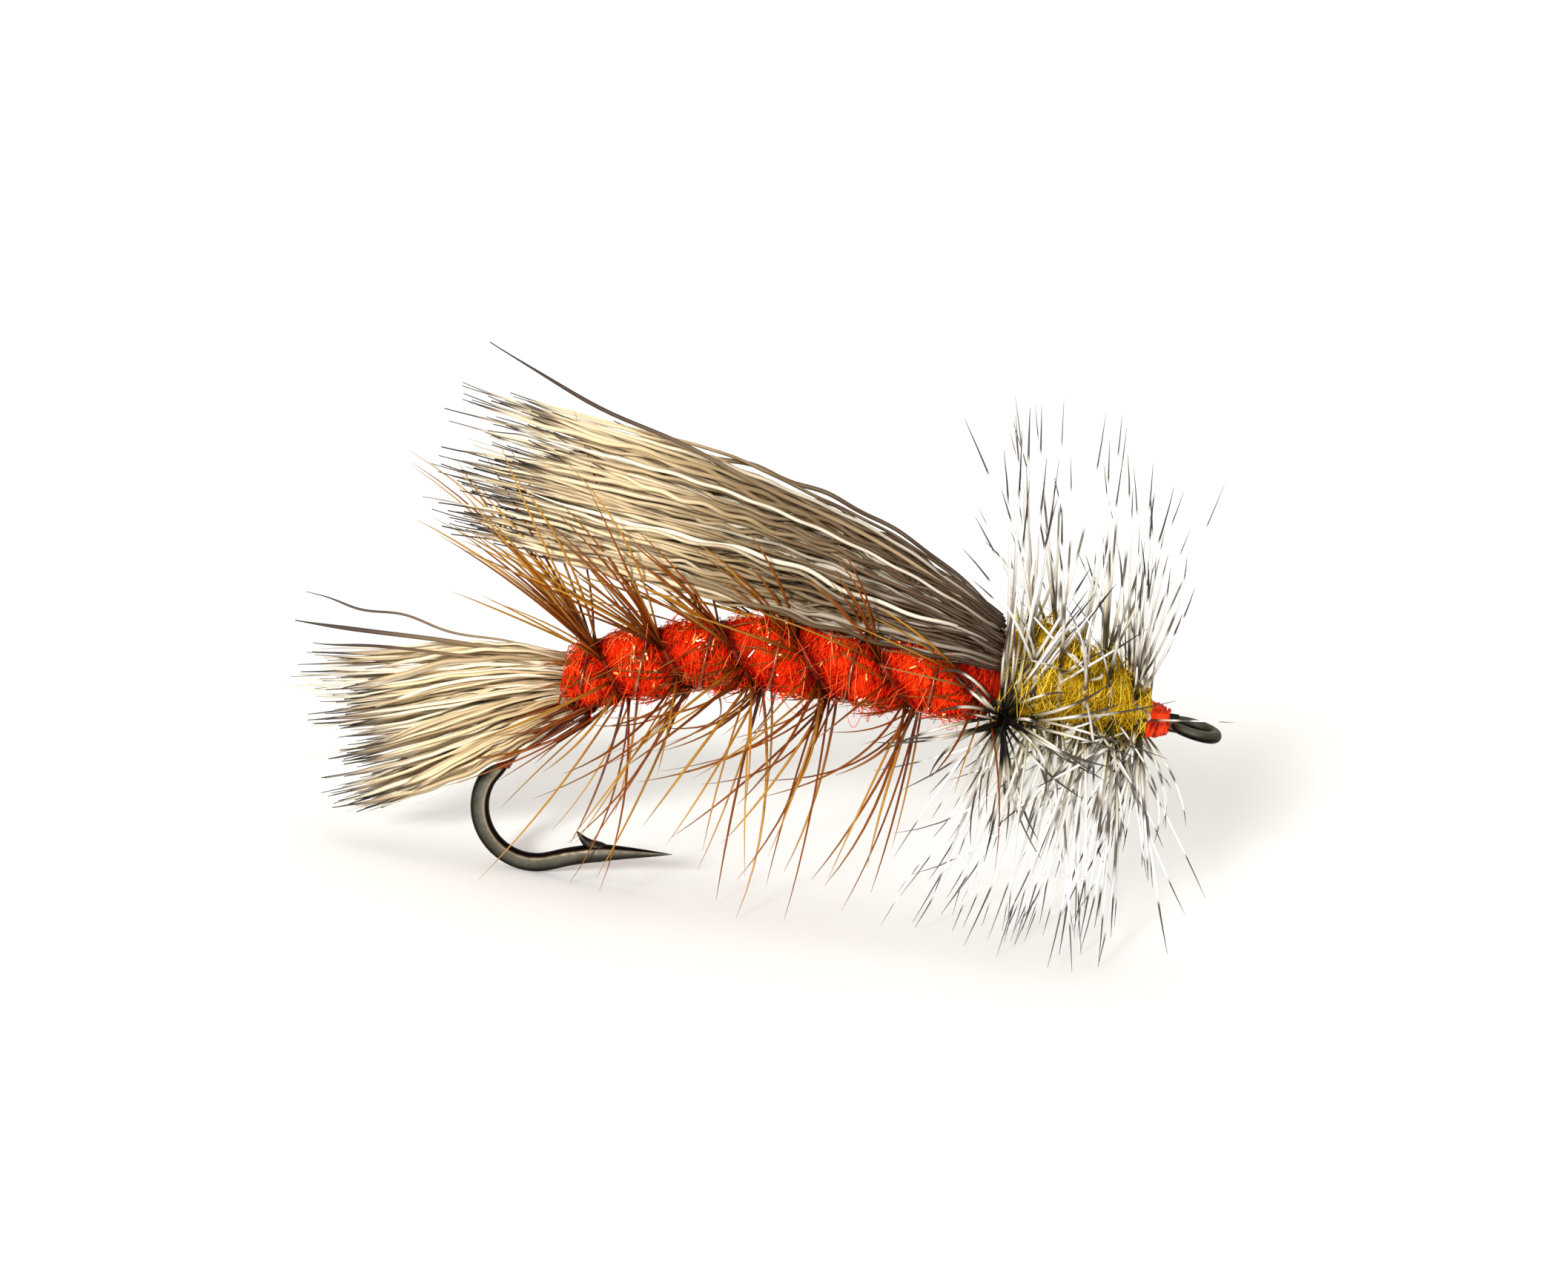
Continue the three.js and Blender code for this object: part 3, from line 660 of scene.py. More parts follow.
def shade_of(wind, x, angle):
    """How much painted shade a spot gets: 1 in the groove beside the stem, less beside the wire and at the
    front, below 0 at the rear, where it comes out lighter.
    """
    by_stem = np.exp(-(wrap_distance(wind, x, angle) / 0.15) ** 2)
    by_rib = 0.55 * np.exp(-(rib_distance(wind, x, angle) / 0.05) ** 2)
    by_end = 0.14 * smoothstep(x, -4.5, -1.0) + 0.5 * smoothstep(x, 6.0, 7.3)
    by_end = by_end - 0.2 * (1 - smoothstep(x, -5.5, -3.5))
    return np.clip(np.maximum(by_stem, by_rib) + by_end, -0.3, 1)


def dubbing_radius(where, x, angle):
    """The fur's surface: bulging between the stems, and a little flatter underneath."""
    _, outline, wind, bulge = where
    base = smooth_graph(outline, x) * (1 - 0.12 * np.clip(np.cos(angle), 0, 1))
    apart = wrap_distance(wind, x, angle)
    return base + bulge * (np.sin(np.clip(apart * 2, 0, 1) * math.pi / 2) ** 0.8) - 0.14


def on_fur(where, x, angle, lift):
    """Points that stand lift above the fur."""
    return beside(where[0], x, dubbing_radius(where, x, angle) + lift, angle)


def dubbing_core(where, lump, seed):
    """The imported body: bulges between the stems, with small lumps."""
    line, outline, wind, _ = where
    start, end = outline[0][0], outline[-1][0] + 0.3
    x = np.linspace(start, end, 260)
    angle = np.arange(90) / 90 * TAU
    xx, aa = np.meshgrid(x, angle, indexing="ij")
    ends = np.sqrt(np.clip((xx - start) / 0.35, 0, 1) * np.clip((end - xx) / 0.35, 0, 1))
    radius = dubbing_radius(where, xx, aa) * (0.35 + 0.65 * ends)
    points = beside(line, xx, radius, aa)
    offset = Vector((seed, 0, 0))
    lumps = [noise.fractal(Vector(p * 2.2) + offset, 1.0, 2.0, 3) for p in points.reshape(-1, 3)]
    radius = radius + lump * np.reshape(lumps, radius.shape) * ends
    verts = beside(line, xx, radius, aa).reshape(-1, 3)
    index = np.arange(len(verts)).reshape(len(x), len(angle))
    return verts, skin(index), {"shade": 0.95 * shade_of(wind, xx, aa).ravel()}


def dubbing_fibres(where, count, length, lift, radius, rng):
    """Short fibres wound with the fur: mostly round the body, bowed out of it and back."""
    line, outline, wind, _ = where
    start, end = outline[0][0], outline[-1][0]
    x = rng.uniform(start + 0.1, end - 0.1, count)
    angle = rng.uniform(0, TAU, count)
    sweep = rng.normal(0, 1, count)
    round_by = rng.uniform(0.25, 1.0, count) * rng.choice([-1, 1], count) * length
    x_by = sweep * length * 0.45
    steps = 7
    t = np.linspace(0, 1, steps)
    xs = np.clip(x[:, None] + x_by[:, None] * t, start + 0.03, end - 0.03)
    body = dubbing_radius(where, xs, angle[:, None])
    angles = angle[:, None] + round_by[:, None] * t / body
    body = dubbing_radius(where, xs, angles)
    tallest = rng.gamma(1.6, lift / 1.6, count)[:, None]
    height_of = tallest * np.sin(t * rng.uniform(1.6, 3.1, count)[:, None])
    kink = rng.normal(0, 0.02, (count, steps))
    rise = 0.01 + np.clip(height_of + kink, -0.02, 0.9)
    paths = beside(line, xs, body + rise, angles)
    thick = radius * rng.uniform(0.6, 1.3, count)[:, None] * np.array([0.7, 1, 1, 1, 0.9, 0.6, 0.2])
    middle = steps // 2
    return paths, thick, shade_of(wind, xs[:, middle], angles[:, middle])


def dubbed(name, where, layers, length, radius, groove_shade, fuzz, mat, slot, draws, seed):
    """Layers of fibres of (count, lift), with painted shade in the grooves by a share, and loose fibres that
    stand out.
    fuzz gives the loose ones' length, lift, lowest tone and seed."""
    for k, (count, lift) in enumerate(layers):
        rng = seeded(draws + k)
        paths, thick, shade = dubbing_fibres(where, count, length, lift, radius, rng)
        strands(f"{name}_fibres_{k + 1}", paths, thick, rng.beta(2, 2, count) * (1 - groove_shade * shade), mat,
                slot, sides=3, seed=seed + k)
    rng = seeded(fuzz[3])
    paths, thick, _ = dubbing_fibres(where, FUZZ, *fuzz[:2], 0.011, rng)
    strands(f"{name}_fuzz", paths, thick, rng.uniform(fuzz[2], 1, FUZZ), mat, slot, sides=3, seed=seed + 3)


make("abdomen_fur", *dubbing_core(abdomen, 0.05, 3.0), red_core, "red_dubbing", "abdomen_dubbing")
dubbed("abdomen", abdomen, ((3400, 0.05), (3000, 0.12)), 1.0, 0.016, 0.92, (1.3, 0.34, 0.6, 102),
       red_fibre, "red_dubbing", 100, 0)

# glints: short flakes of the dubbing's flash fibre, coloured up to near white as painted glints; gathered in
# the middle of each turn on its near half, clear of the painted groove shade, and scattered round it
rng = seeded(104)
each, loose = 11, 120
turns = np.arange(0, 6) + rng.uniform(0.58, 0.7, 6)
turns = np.repeat(np.concatenate([turns, turns - 0.12, turns + 0.3]), each)
x = turn_x(BODY_HACKLE, skewed(BODY_HACKLE, turns) + rng.normal(0.5, 0.1, len(turns)))
angle = TAU * turns + rng.normal(0, 0.16, len(turns))
x = np.concatenate([x, rng.uniform(-5.6, 6.6, loose)])
angle = np.concatenate([angle, rng.uniform(0, TAU, loose)])
clear = (shade_of(BODY_HACKLE, x, angle) < 0.55) & (x < 6.6)
x, angle = x[clear], angle[clear]
count = len(x)
t = np.linspace(-0.5, 0.5, 4)
xs = x[:, None] + rng.normal(0, 0.09, (count, 1)) * t
angles = angle[:, None] + rng.normal(0, 0.12, (count, 1)) * t
paths = on_fur(abdomen, xs, angles, rng.uniform(0.08, 0.17, (count, 1)))
strands("abdomen_flash_glints", paths, rng.uniform(0.02, 0.06, (count, 1)) * np.array([[0.6, 1, 1, 0.6]]),
        rng.uniform(0, 1, count), flash_glint_fibre, "red_dubbing", flat=0.5, seed=9)

make("thorax_fur", *dubbing_core(thorax, 0.09, 7.0), amber_core, "amber_dubbing", "thorax_dubbing")
dubbed("thorax", thorax, ((1900, 0.07), (1500, 0.2)), 1.1, 0.018, 0, (1.5, 0.45, 0.7, 113),
       amber_fibre, "amber_dubbing", 110, 20)

# ---- rib and stems ----


def rib_path():
    """Wire wound the other way, crossing the feather's stem below and above the body."""
    turns = np.linspace(0.05, 5.7, 700)
    x = turn_x(BODY_HACKLE, turns + BODY_HACKLE["skew"] * np.cos(TAU * turns))
    angle = -TAU * turns
    surface = dubbing_radius(abdomen, x, angle)
    apart = np.angle(np.exp(1j * 2 * TAU * turns))
    return beside(abdomen_points, x, surface + 0.16 + 0.08 * np.exp(-(apart / 0.5) ** 2), angle)


make("rib_strand", *helix_tube(rib_path(), 0.06), {}, rib_mat, "rib_wire", "rib_wire")


def on_stem(where, turns, lift):
    """The x and angle of the stem at the given turns, and points that stand lift above the fur there."""
    x = turn_x(where[2], skewed(where[2], turns))
    angle = TAU * turns
    return x, angle, on_fur(where, x, angle, lift)


def stem(where, start, end):
    """The feather's stem, wound on the fur between two turns."""
    turns = np.linspace(start, end, int((end - start) * STEM_STEPS))
    return helix_tube(on_stem(where, turns, STEM_R)[2], STEM_R)


def barbs(where, turns, aim, lengths, rng, spread=0.16):
    """Barb paths rooted on the stem at the given turns. aim(x, angle) gives each one's lean towards the eye
    and how far it curls back, both in degrees."""
    x, angle, root = on_stem(where, turns, STEM_R * 0.5)
    splay = rng.normal(0, spread, len(turns))
    out = xyz(np.zeros_like(angle), np.sin(angle + splay), -np.cos(angle + splay))
    lean, curl = aim(x, angle)
    forward = np.array([1.0, 0, 0])

    def heading(degrees):
        a = np.radians(degrees)[:, None]
        return out * np.cos(a) + forward * np.sin(a)

    p1 = root + heading(lean + curl * 0.6) * lengths[:, None] * 0.34
    p2 = p1 + heading(lean) * lengths[:, None] * 0.33
    p3 = p2 + heading(lean - curl) * lengths[:, None] * 0.33
    return bezier(root, p1, p2, p3, BARB_STEPS)


def wandering(root, heading, length, out_by, ways, rng):
    """Barb paths straight from the root, moved a little at random at the third point and at the tip."""
    p1 = root + heading * length * out_by
    p2 = root + heading * length * out_by * 2 + rng.normal(0, ways[0], root.shape)
    p3 = root + heading * length + rng.normal(0, ways[1], root.shape)
    return bezier(root, p1, p2, p3, BARB_STEPS)


def barb_strands(name, paths, root_r, tones, mat, rng, seed):
    """A piece of either hackle: barbs that taper to the tip, with tones from the given range."""
    count, steps, _ = paths.shape
    t = np.linspace(0, 1, steps)
    size = root_r * rng.uniform(0.75, 1.2, count)[:, None]
    radii = size * np.maximum(1 - 0.3 * t - 0.62 * t ** 5, 0.1)
    slot = "brown_hackle" if name.startswith("body") else "grizzly_hackle"
    strands(name, paths, radii, rng.uniform(*tones, count), mat, slot, sides=4, seed=seed)


# ---- body hackle ----

make("body_hackle_stem", *stem(abdomen, 0.3, 5.9), {}, stem_mat, "brown_hackle", "body_hackle")


def aim_body(rng):
    def aim(x, angle):
        up = np.clip(-np.cos(angle), 0, 1)
        # the wing presses the barbs under it down towards the tail
        pressed = smoothstep(x, -3.5, 0.5) * up
        lean = -(13 + 38 * up + 20 * pressed + rng.normal(0, 12, len(x)))
        return np.minimum(lean, 6), rng.normal(8, 9, len(x)).clip(-4, 24)
    return aim


# a name, how many barbs before some are left out, and the share of those at the sides that stay
BODY_BARBS = (("dark", 84, 0.4, brown_barb), ("ginger", 150, 0.22, ginger_barb))
for k, (name, count, at_sides, mat) in enumerate(BODY_BARBS):
    rng = seeded(200 + k)
    turns = np.sort(rng.uniform(FIRST_TURN, LAST_TURN, count))
    up = -np.cos(TAU * turns)
    chance = np.where(up > 0.5, np.where(turns > 2, 0.5, 1.0), np.where(up < -0.3, 0.78, at_sides))
    kept = rng.uniform(0, 1, count) < chance
    turns, up = turns[kept], up[kept]
    lengths = rng.normal(7.2, 0.9, len(turns)).clip(4, 8.6)
    lengths *= 1 + (0.04 - 0.39 * smoothstep(turns, 1.5, 3)) * smoothstep(up, 0.1, 0.8)
    paths = barbs(abdomen, turns, aim_body(rng), lengths, rng)
    barb_strands(f"body_hackle_{name}", paths, 0.046, (0, 1), mat, rng, 30 + k)

# long barbs under the body that bend back towards the tail
rng = seeded(210)
turns = np.repeat(np.arange(0, 6), 4) + rng.uniform(-0.16, 0.1, 24)
turns = turns[(turns > FIRST_TURN) & (turns < LAST_TURN)]
count = len(turns)
_, _, root = on_stem(abdomen, turns, 0)
length = rng.uniform(3.5, 7.2, (count, 1))
ones = np.ones(count)
down = unit(xyz(rng.uniform(-0.9, -0.1, count), rng.normal(-0.25, 0.3, count), -ones))
back = unit(xyz(-ones, rng.normal(-0.15, 0.25, count), rng.uniform(-0.6, 0.0, count)))
p1 = root + down * length * 0.3
p2 = p1 + unit(down + back) * length * 0.3
p3 = p2 + back * length * 0.42
barb_strands("body_hackle_swept", bezier(root, p1, p2, p3, 14), 0.05, (0, 1), brown_barb, rng, 33)

# the feather's tip, tied down on the bend
count = 24
root = np.array([-5.1, -0.5, 5.95]) + rng.normal(0, 1, (count, 3)) * (0.3, 0.12, 0.2)
heading = unit(xyz(rng.normal(-1.0, 0.2, count), rng.normal(-0.1, 0.1, count),
                         rng.normal(-0.7, 0.2, count)))
length = rng.uniform(1.5, 3.6, (count, 1))
paths = wandering(root, heading, length, 0.35, (0.06, 0.15), rng)
barb_strands("body_hackle_tip", paths, 0.05, (0, 0.45), brown_barb, rng, 34)

# barbs that stand up behind each turn, on the near side of the wing
turns = np.repeat(np.arange(0, 5), 6) + rng.normal(0.64, 0.04, 30)
count = len(turns)
_, _, root = on_stem(abdomen, turns, 0.05)
outward = rng.normal(-0.3, 0.08, count) - 0.1 * turns
heading = unit(xyz(rng.normal(-1.3, 0.26, count) + 0.12 * turns, outward, np.ones(count)))
length = rng.uniform(3.2, 7.0, (count, 1)) * (1 - 0.05 * turns[:, None])
length *= 0.85 + 0.15 * smoothstep(turns[:, None], 0.8, 2.4)
bow = np.array([-0.12, -0.04, 0])
p1 = root + (heading - bow) * length * 0.34
p2 = root + heading * length * 0.68
p3 = root + (heading + bow) * length
paths = bezier(root, p1, p2, p3, BARB_STEPS)
barb_strands("body_hackle_raised", paths, 0.048, (0, 1), brown_barb, rng, 36)

# barbs lying back over the near and far sides of the body, from each turn of the stem
rng = seeded(220)
each = 26
turns = np.repeat(np.arange(0.9, 5.95), each) + rng.uniform(-0.42, 0.42, 6 * each)
turns = turns[(turns > 0.35) & (turns < LAST_TURN)]
count = len(turns)
t = np.linspace(0, 1, 9)
length = rng.uniform(0.9, 2.6, (count, 1))
xs = turn_x(BODY_HACKLE, skewed(BODY_HACKLE, turns))[:, None] - length * t
angles = TAU * turns[:, None] + rng.normal(0, 0.35, (count, 1)) * t * length / 1.5
lift = 0.05 + rng.uniform(0.02, 0.4, (count, 1)) * t ** 1.6
radius = dubbing_radius(abdomen, np.maximum(xs, ABDOMEN[0][0]), angles) + lift
paths = beside(abdomen_points, xs, radius, angles)
barb_strands("body_hackle_laid", paths, 0.04, (0, 0.6), brown_barb, rng, 35)

# ---- front hackle ----

make("front_hackle_stem", *stem(thorax, 0.0, 5.3), {}, grizzly_stem, "grizzly_hackle", "front_hackle")


def aim_front(rng):
    def aim(x, angle):
        low = np.clip(np.cos(angle), 0, 1)
        messy = np.where(rng.uniform(0, 1, len(x)) < 0.1 + 0.2 * low, 22, 8)
        lean = -13 + (12 + 7 * low) * (x - 7.9) / 4.2 + rng.normal(0, 1, len(x)) * messy
        return lean, rng.normal(0.6, 0.8, len(x)) * messy * 0.8
    return aim


for k in range(5):
    rng = seeded(300 + k)
    each = 54  # barbs in a turn before those above and on the near side are thinned out
    turns = np.sort(rng.uniform(k, k + 1.05, each))
    up, near = -np.cos(TAU * turns), -np.sin(TAU * turns)
    chance = np.where(up > 0.3, 0.52, np.where(near > 0.5, 0.17, 0.95))
    turns = turns[rng.uniform(0, 1, each) < chance]
    count = len(turns)
    low = np.clip(np.cos(TAU * turns), 0, 1)
    short_by = rng.gamma(1.3, 0.9, count)
    short_by = short_by * np.where(rng.uniform(0, 1, count) < 0.75, 0.6, 1.6)
    lengths = (8.1 - short_by).clip(2.6, 8.4) + 0.3 * low
    paths = barbs(thorax, turns, aim_front(rng), lengths, rng, 0.2)
    mat = pale_barb if k in (0, 2) else grizzly_barb
    barb_strands(f"front_hackle_turn_{k + 1}", paths, 0.054, (0, 1), mat, rng, 40 + k)


def collar():
    """Short barbs with dark bases, packed against the head by the last turn."""
    rng = seeded(330)
    count = 64
    turns = np.sort(rng.choice([4.4, 4.95, 5.0], count) + rng.uniform(0, 0.3, count))
    lengths = rng.uniform(1.6, 6.4, count)

    def aim(x, angle):
        return rng.normal(-5, 7, len(x)), rng.normal(3, 6, len(x))

    paths = barbs(thorax, turns, aim, lengths, rng, 0.2)
    barb_strands("front_hackle_collar", paths, 0.056, (0, 0.9), upright_barb, rng, 46)


collar()


def tangle():
    """Greyer barbs under the throat that point every way."""
    rng = seeded(340)
    count = 34
    turns = rng.choice([3, 4, 5], count) + rng.normal(-0.02, 0.12, count)
    lengths = rng.uniform(2.4, 5.6, count)

    def aim(x, angle):
        return rng.normal(0, 34, count).clip(-60, 38), rng.normal(0, 20, count).clip(-8, 40)

    paths = barbs(thorax, np.minimum(turns, 5.25), aim, lengths, rng, 0.3)
    barb_strands("front_hackle_tangle", paths, 0.056, (0, 0.3), grizzly_barb, rng, 47)


tangle()

# the front feather's dark base where it was tied in: barbs splayed round one point
rng = seeded(320)
count = 42
root = np.array([7.85, -1.2, 7.75]) + rng.normal(0, 0.1, (count, 3))
around = rng.uniform(0, TAU, count)
spread = rng.uniform(0.7, 1.5, count)
heading = xyz(np.cos(around) * np.sin(spread), -np.cos(spread), np.sin(around) * np.sin(spread))
heading[:, 2] -= 0.35
heading = unit(heading)
lengths = rng.uniform(2.4, 5.6, count)[:, None]
bend_by = rng.normal(0, 0.15, (count, 3))
p1 = root + heading * lengths * 0.33
p2 = root + (heading + bend_by * 0.4) * lengths * 0.66
p3 = root + (heading + bend_by) * lengths
paths = bezier(root, p1, p2, p3, BARB_STEPS)
barb_strands("front_hackle_foot", paths, 0.058, (0, 1), black_barb, rng, 60)

# a few more that stand up together beside the wing
tall, short = 8, 11
count = tall + short
root = np.array([7.9, -1.25, 7.9]) + rng.normal(0, 0.12, (count, 3))
lean = np.concatenate([rng.normal(-0.06, 0.05, tall), rng.normal(0.4, 0.3, short)])
heading = unit(xyz(lean, rng.normal(-0.22, 0.1, count), np.ones(count)))
lengths = np.concatenate([rng.uniform(7.4, 9.4, tall), rng.uniform(3.0, 6.0, short)])[:, None]
paths = wandering(root, heading, lengths, 0.33, (0.08, 0.18), rng)
barb_strands("front_hackle_upright", paths, 0.064, (0.2, 0.9), upright_barb, rng, 61)

# ---- hair ----


def crinkle(paths, rng, size, waves, locks=None):
    """The same hairs with a small wave in each, dying away at the root and the tip. If locks are given, the
    hairs of each lock also wave together."""
    count, steps, _ = paths.shape
    t = np.linspace(0, 1, steps)
    ahead = unit(paths[:, -1] - paths[:, 0])
    own = np.arange(count)
    moved = paths
    for group, share in ((own, 1.0),) if locks is None else ((own, 0.7), (locks, 0.8)):
        many = group.max() + 1
        turn = rng.normal(size=(many, 3))[group]
        side = unit(turn - (turn * ahead).sum(1, keepdims=True) * ahead)
        phase = rng.uniform(0, TAU, (many, 1))[group]
        often = waves * rng.uniform(0.6, 1.4, (many, 1))[group]
        deep = size * share * rng.uniform(0.3, 1.5, (many, 1))[group]
        wave = deep * np.sin(TAU * often * t + phase + 1.5 * np.sin(4 * t + phase))
        wave = wave * np.sin(np.pi * t ** 0.6) ** 0.6
        moved = moved + side[:, None, :] * wave[..., None]
    return moved


def hair_radius(count, steps, size, rng):
    """Radii along each hair: thickest in the middle, fine at the tip."""
    t = np.linspace(0, 1, steps)
    profile = np.minimum(0.75 + 0.6 * t, 1) * (1 - smoothstep(t, 0.78, 1.03) * 0.8)
    return size * rng.uniform(0.7, 1.25, count)[:, None] * profile


def fan(count, low, high, widths, rng, steps, jitter, tip_jitter):
    """Hairs between a low and a high edge of four (x, z) points each, with the half widths across there."""
    u = np.sort(rng.uniform(0, 1, count))
    across = rng.normal(0, 0.5, count).clip(-1, 1)
    points = []
    for i in range(4):
        x = low[i][0] + (high[i][0] - low[i][0]) * u + rng.normal(0, jitter[i], count)
        z = low[i][1] + (high[i][1] - low[i][1]) * u + rng.normal(0, jitter[i], count)
        y = across * widths[i] + rng.normal(0, jitter[i], count)
        points.append(xyz(x, y, z))
    points[3] += unit(points[2] - points[3]) * tip_jitter * rng.uniform(0, 1, (count, 1))
    return u, across, bezier(*points, steps)


def locks_of(u, across, rng, many):
    """Which lock each hair belongs to: hairs side by side in the fan share one."""
    centres = rng.uniform((0, -1), (1, 1), (many, 2))
    apart = ((u[:, None] - centres[:, 0]) * 3) ** 2 + (across[:, None] - centres[:, 1]) ** 2 * 0.6
    return apart.argmin(1)


def gathered(paths, locks, amount, shorter, rng):
    """Hairs of one lock drawn together towards their tips, and each lock as long as it likes."""
    steps = paths.shape[1]
    pull = amount * smoothstep(np.linspace(0, 1, steps), 0.5, 1.0)
    fits = 1 - shorter * rng.uniform(0, 1, locks.max() + 1)[locks][:, None, None]
    moved = paths[:, :1] + (paths - paths[:, :1]) * fits
    for lock in np.unique(locks):
        mine = locks == lock
        middle = moved[mine].mean(0, keepdims=True)
        moved[mine, :, 1:] += (middle - moved[mine])[..., 1:] * pull[None, :, None]
    return moved


def beside_wire(paths):
    """The same hairs, moved across so that each passes the hook's wire and its wraps on one side."""
    near = np.linalg.norm(paths[:, :, None, ::2] - wire[:, ::2], axis=-1).min(-1)
    side = np.sign(paths[np.arange(len(paths)), near.argmin(1), 1])[:, None]
    clear = WIRE_CLEAR + WRAPS_CLEAR * smoothstep(paths[..., 0], -8.2, -7.4)
    short_by = np.maximum(clear - paths[..., 1] * side, 0)
    moved = paths.copy()
    moved[..., 1] += side * short_by * (1 - smoothstep(near, clear, 2 * clear))
    return moved


def hair_pieces(kind, names, u, paths, radii, tones, mat, seed):
    """One piece for each lock, from the low edge of the bundle up."""
    many = len(names)
    for k, name in enumerate(names):
        mine = (u >= k / many) & (u < (k + 1) / many + (k == many - 1))
        strands(f"{kind}_hairs_{name}", paths[mine], radii[mine], tones[mine], mat, f"{kind}_hair",
                (f"{kind}_hair_{name}",), seed=seed + k)


# the edges of the wing and of the tail, then the half widths across and the jitter at the same four places
WING_LOW = [(7.6, 9.15), (2.4, 9.9), (-3.5, 10.1), (-11.3, 10.6)]
WING_HIGH = [(7.3, 10.7), (1.5, 13.8), (-4, 14.2), (-11.2, 15.5)]
WING_WIDE, WING_JITTER = (0.75, 1.15, 1.5, 1.9), (0.06, 0.36, 0.46, 0.42)
TAIL_LOW = [(-5.8, 5.3), (-7.5, 3.9), (-9.6, 2.1), (-13.1, 0.15)]
TAIL_HIGH = [(-5.8, 7.05), (-8.4, 7.5), (-10.8, 6.5), (-15.2, 5.75)]
TAIL_WIDE, TAIL_JITTER = (0.5, 0.9, 1.3, 1.7), (0.05, 0.14, 0.2, 0.26)
WING_COUNT, WING_STEPS = 320, 80
TAIL_COUNT, TAIL_STEPS = 250, 40

rng = seeded(400)
u, across, paths = fan(WING_COUNT, WING_LOW, WING_HIGH, WING_WIDE, rng, WING_STEPS, WING_JITTER, 4.6)
locks = locks_of(u, across, rng, 46)
paths = crinkle(paths, rng, 0.2, 1.5, locks)
paths = crinkle(paths, rng, 0.095, 9, locks)
paths = gathered(paths, locks, 0.46, 0.06, rng)
radii = hair_radius(WING_COUNT, WING_STEPS, 0.074, rng)
# hairs on the near side, which faces the key light, are painted lighter: a painted highlight; hairs along the
# low edge are darker
tones = rng.uniform(0, 0.84, WING_COUNT) + 0.14 * smoothstep(-across, 0.2, 0.9)
tones = np.clip(tones - 0.14 * (1 - smoothstep(u, 0.2, 0.5)), 0, 1)
hair_pieces("wing", ("bottom", "lower", "upper", "top"), u, paths, radii, tones, wing_hair, 70)

rng = seeded(410)
u, across, paths = fan(TAIL_COUNT, TAIL_LOW, TAIL_HIGH, TAIL_WIDE, rng, TAIL_STEPS, TAIL_JITTER, 2.8)
# the lowest hairs lie on either side of the hook's bend
astride = np.sign(rng.normal(size=TAIL_COUNT) - 0.3) * 0.42 * (1 - smoothstep(u, 0.1, 0.4))
paths[..., 1] += astride[:, None] * smoothstep(np.linspace(0, 1, TAIL_STEPS), 0, 0.25)
locks = locks_of(u, across, rng, 26)
paths = crinkle(paths, rng, 0.08, 1.2, locks)
paths = crinkle(paths, rng, 0.03, 4, locks)
paths = beside_wire(gathered(paths, locks, 0.5, 0.07, rng))
radii = hair_radius(TAIL_COUNT, TAIL_STEPS, 0.062, rng)
tones = rng.uniform(0.1, 1, TAIL_COUNT)
hair_pieces("tail", ("lower", "middle", "upper"), u, paths, radii, tones, tail_hair, 80)

STRAYS = {
    "tail_stray_hair_1": [(-6.3, 0.1, 6.9), (-9.0, 0.4, 7.5), (-12.0, 0.7, 7.25), (-14.85, 0.9, 7.65)],
    "tail_stray_hair_2": [(-6.3, -0.1, 6.9), (-9.0, -0.5, 7.3), (-12.0, -0.9, 7.0), (-14.8, -1.1, 7.05)],
    "tail_stray_hair_3": [(-6.3, -0.3, 6.85), (-8.8, -1.0, 7.1), (-11.4, -1.7, 6.7), (-14.0, -2.2, 6.65)],
    "wing_stray_hair": [(7.2, -0.3, 10.5), (0.5, -1.6, 14.3), (-4.6, -1.9, 14.4), (-9.95, -2.0, 16.9)],
}
for k, (name, points) in enumerate(STRAYS.items()):
    rng = seeded(420 + k)
    paths = crinkle(bezier(*[[p] for p in points], TAIL_STEPS), rng, 0.11, 2.2)
    slot = "tail_hair" if name.startswith("tail") else "wing_hair"
    strands(f"{name}_visual", paths, hair_radius(1, TAIL_STEPS, 0.066, rng), [0.5], stray_hair,
            slot, (name,), 6, seed=90 + k)

# ---- CAD nodes that stay ----

for name in ("shank_thread", "wing_band"):
    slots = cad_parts[name].data.materials
    slots.clear()
    slots.append(base_thread)

# ---- stage, light and camera ----

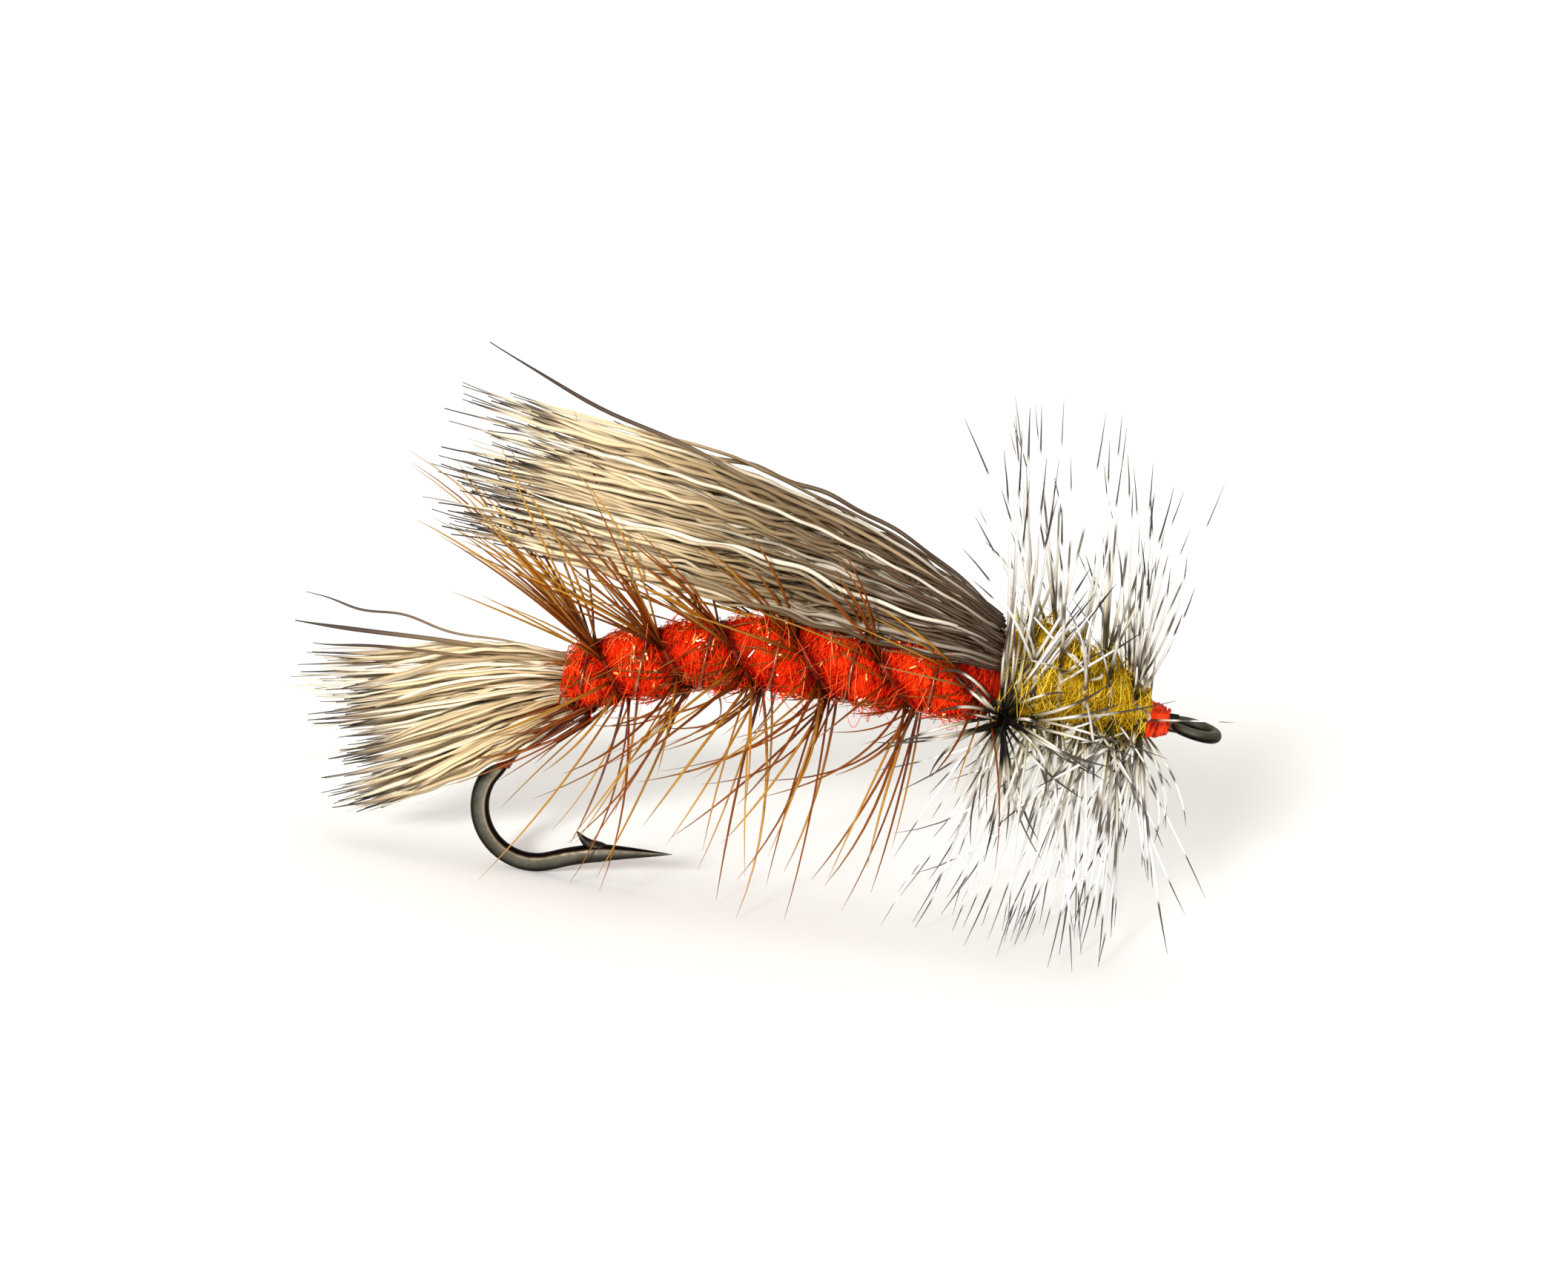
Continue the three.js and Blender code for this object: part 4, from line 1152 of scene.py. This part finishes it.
bpy.ops.mesh.primitive_plane_add(size=200, location=(0, 0, 0))
floor = bpy.context.object
floor.name = "floor"
floor_mat = material("floor_paper", 0.7)
speckled(floor_mat, 0.05, [(0.3, 252, 252, 251), (0.7, 254, 254, 253)])
floor.data.materials.append(floor_mat)

world = bpy.data.worlds.new("studio")
bpy.context.scene.world = world
world.use_nodes = True
background = world.node_tree.nodes["Background"]
split = node(world, "SeparateXYZ")
link(world, node(world, "TexCoord").outputs["Generated"], split.inputs[0])
# a white studio, a little brighter along the horizon than overhead
link(world, ramp(world, split.outputs["Z"], [
    (0.0, (1.08, 1.08, 1.08, 1)), (0.12, (1.08, 1.08, 1.08, 1)), (0.35, (0.685, 0.655, 0.61, 1))]),
    background.inputs["Color"])
background.inputs["Strength"].default_value = 1.0


def sun(name, energy, degrees, direction):
    """A sun of the given size in the sky, shining in a direction."""
    data = bpy.data.lights.new(name, "SUN")
    data.energy = energy
    data.angle = math.radians(degrees)
    added(name, data).rotation_euler = Vector(direction).to_track_quat("-Z", "Y").to_euler()


sun("key", 4.6, 7, (0.26, 0.93, -0.25))
sun("overhead", 0.35, 40, (0.05, 0.02, -1))

VIEW_WIDTH = 50.0  # millimetres across the view, at the fly
TARGET = Vector((0.59, 0, 8.74)) * MM
ELEVATION, ROLL = math.radians(10), math.radians(9.6)
LENS, SENSOR = 85.0, 36.0
back = Vector((0, -math.cos(ELEVATION), math.sin(ELEVATION)))
level = Vector((1, 0, 0))
upright = Vector((0, math.sin(ELEVATION), math.cos(ELEVATION)))
right = level * math.cos(ROLL) + upright * math.sin(ROLL)
up = upright * math.cos(ROLL) - level * math.sin(ROLL)
camera_data = bpy.data.cameras.new("camera")
camera_data.lens = LENS
camera_data.sensor_width = SENSOR
camera_data.clip_start = 0.001
camera = added("camera", camera_data)
camera.matrix_world = Matrix((right, up, back)).transposed().to_4x4()
camera.location = TARGET + back * (VIEW_WIDTH * MM * LENS / SENSOR)
bpy.context.scene.camera = camera

bpy.context.scene.view_settings.view_transform = "Standard"
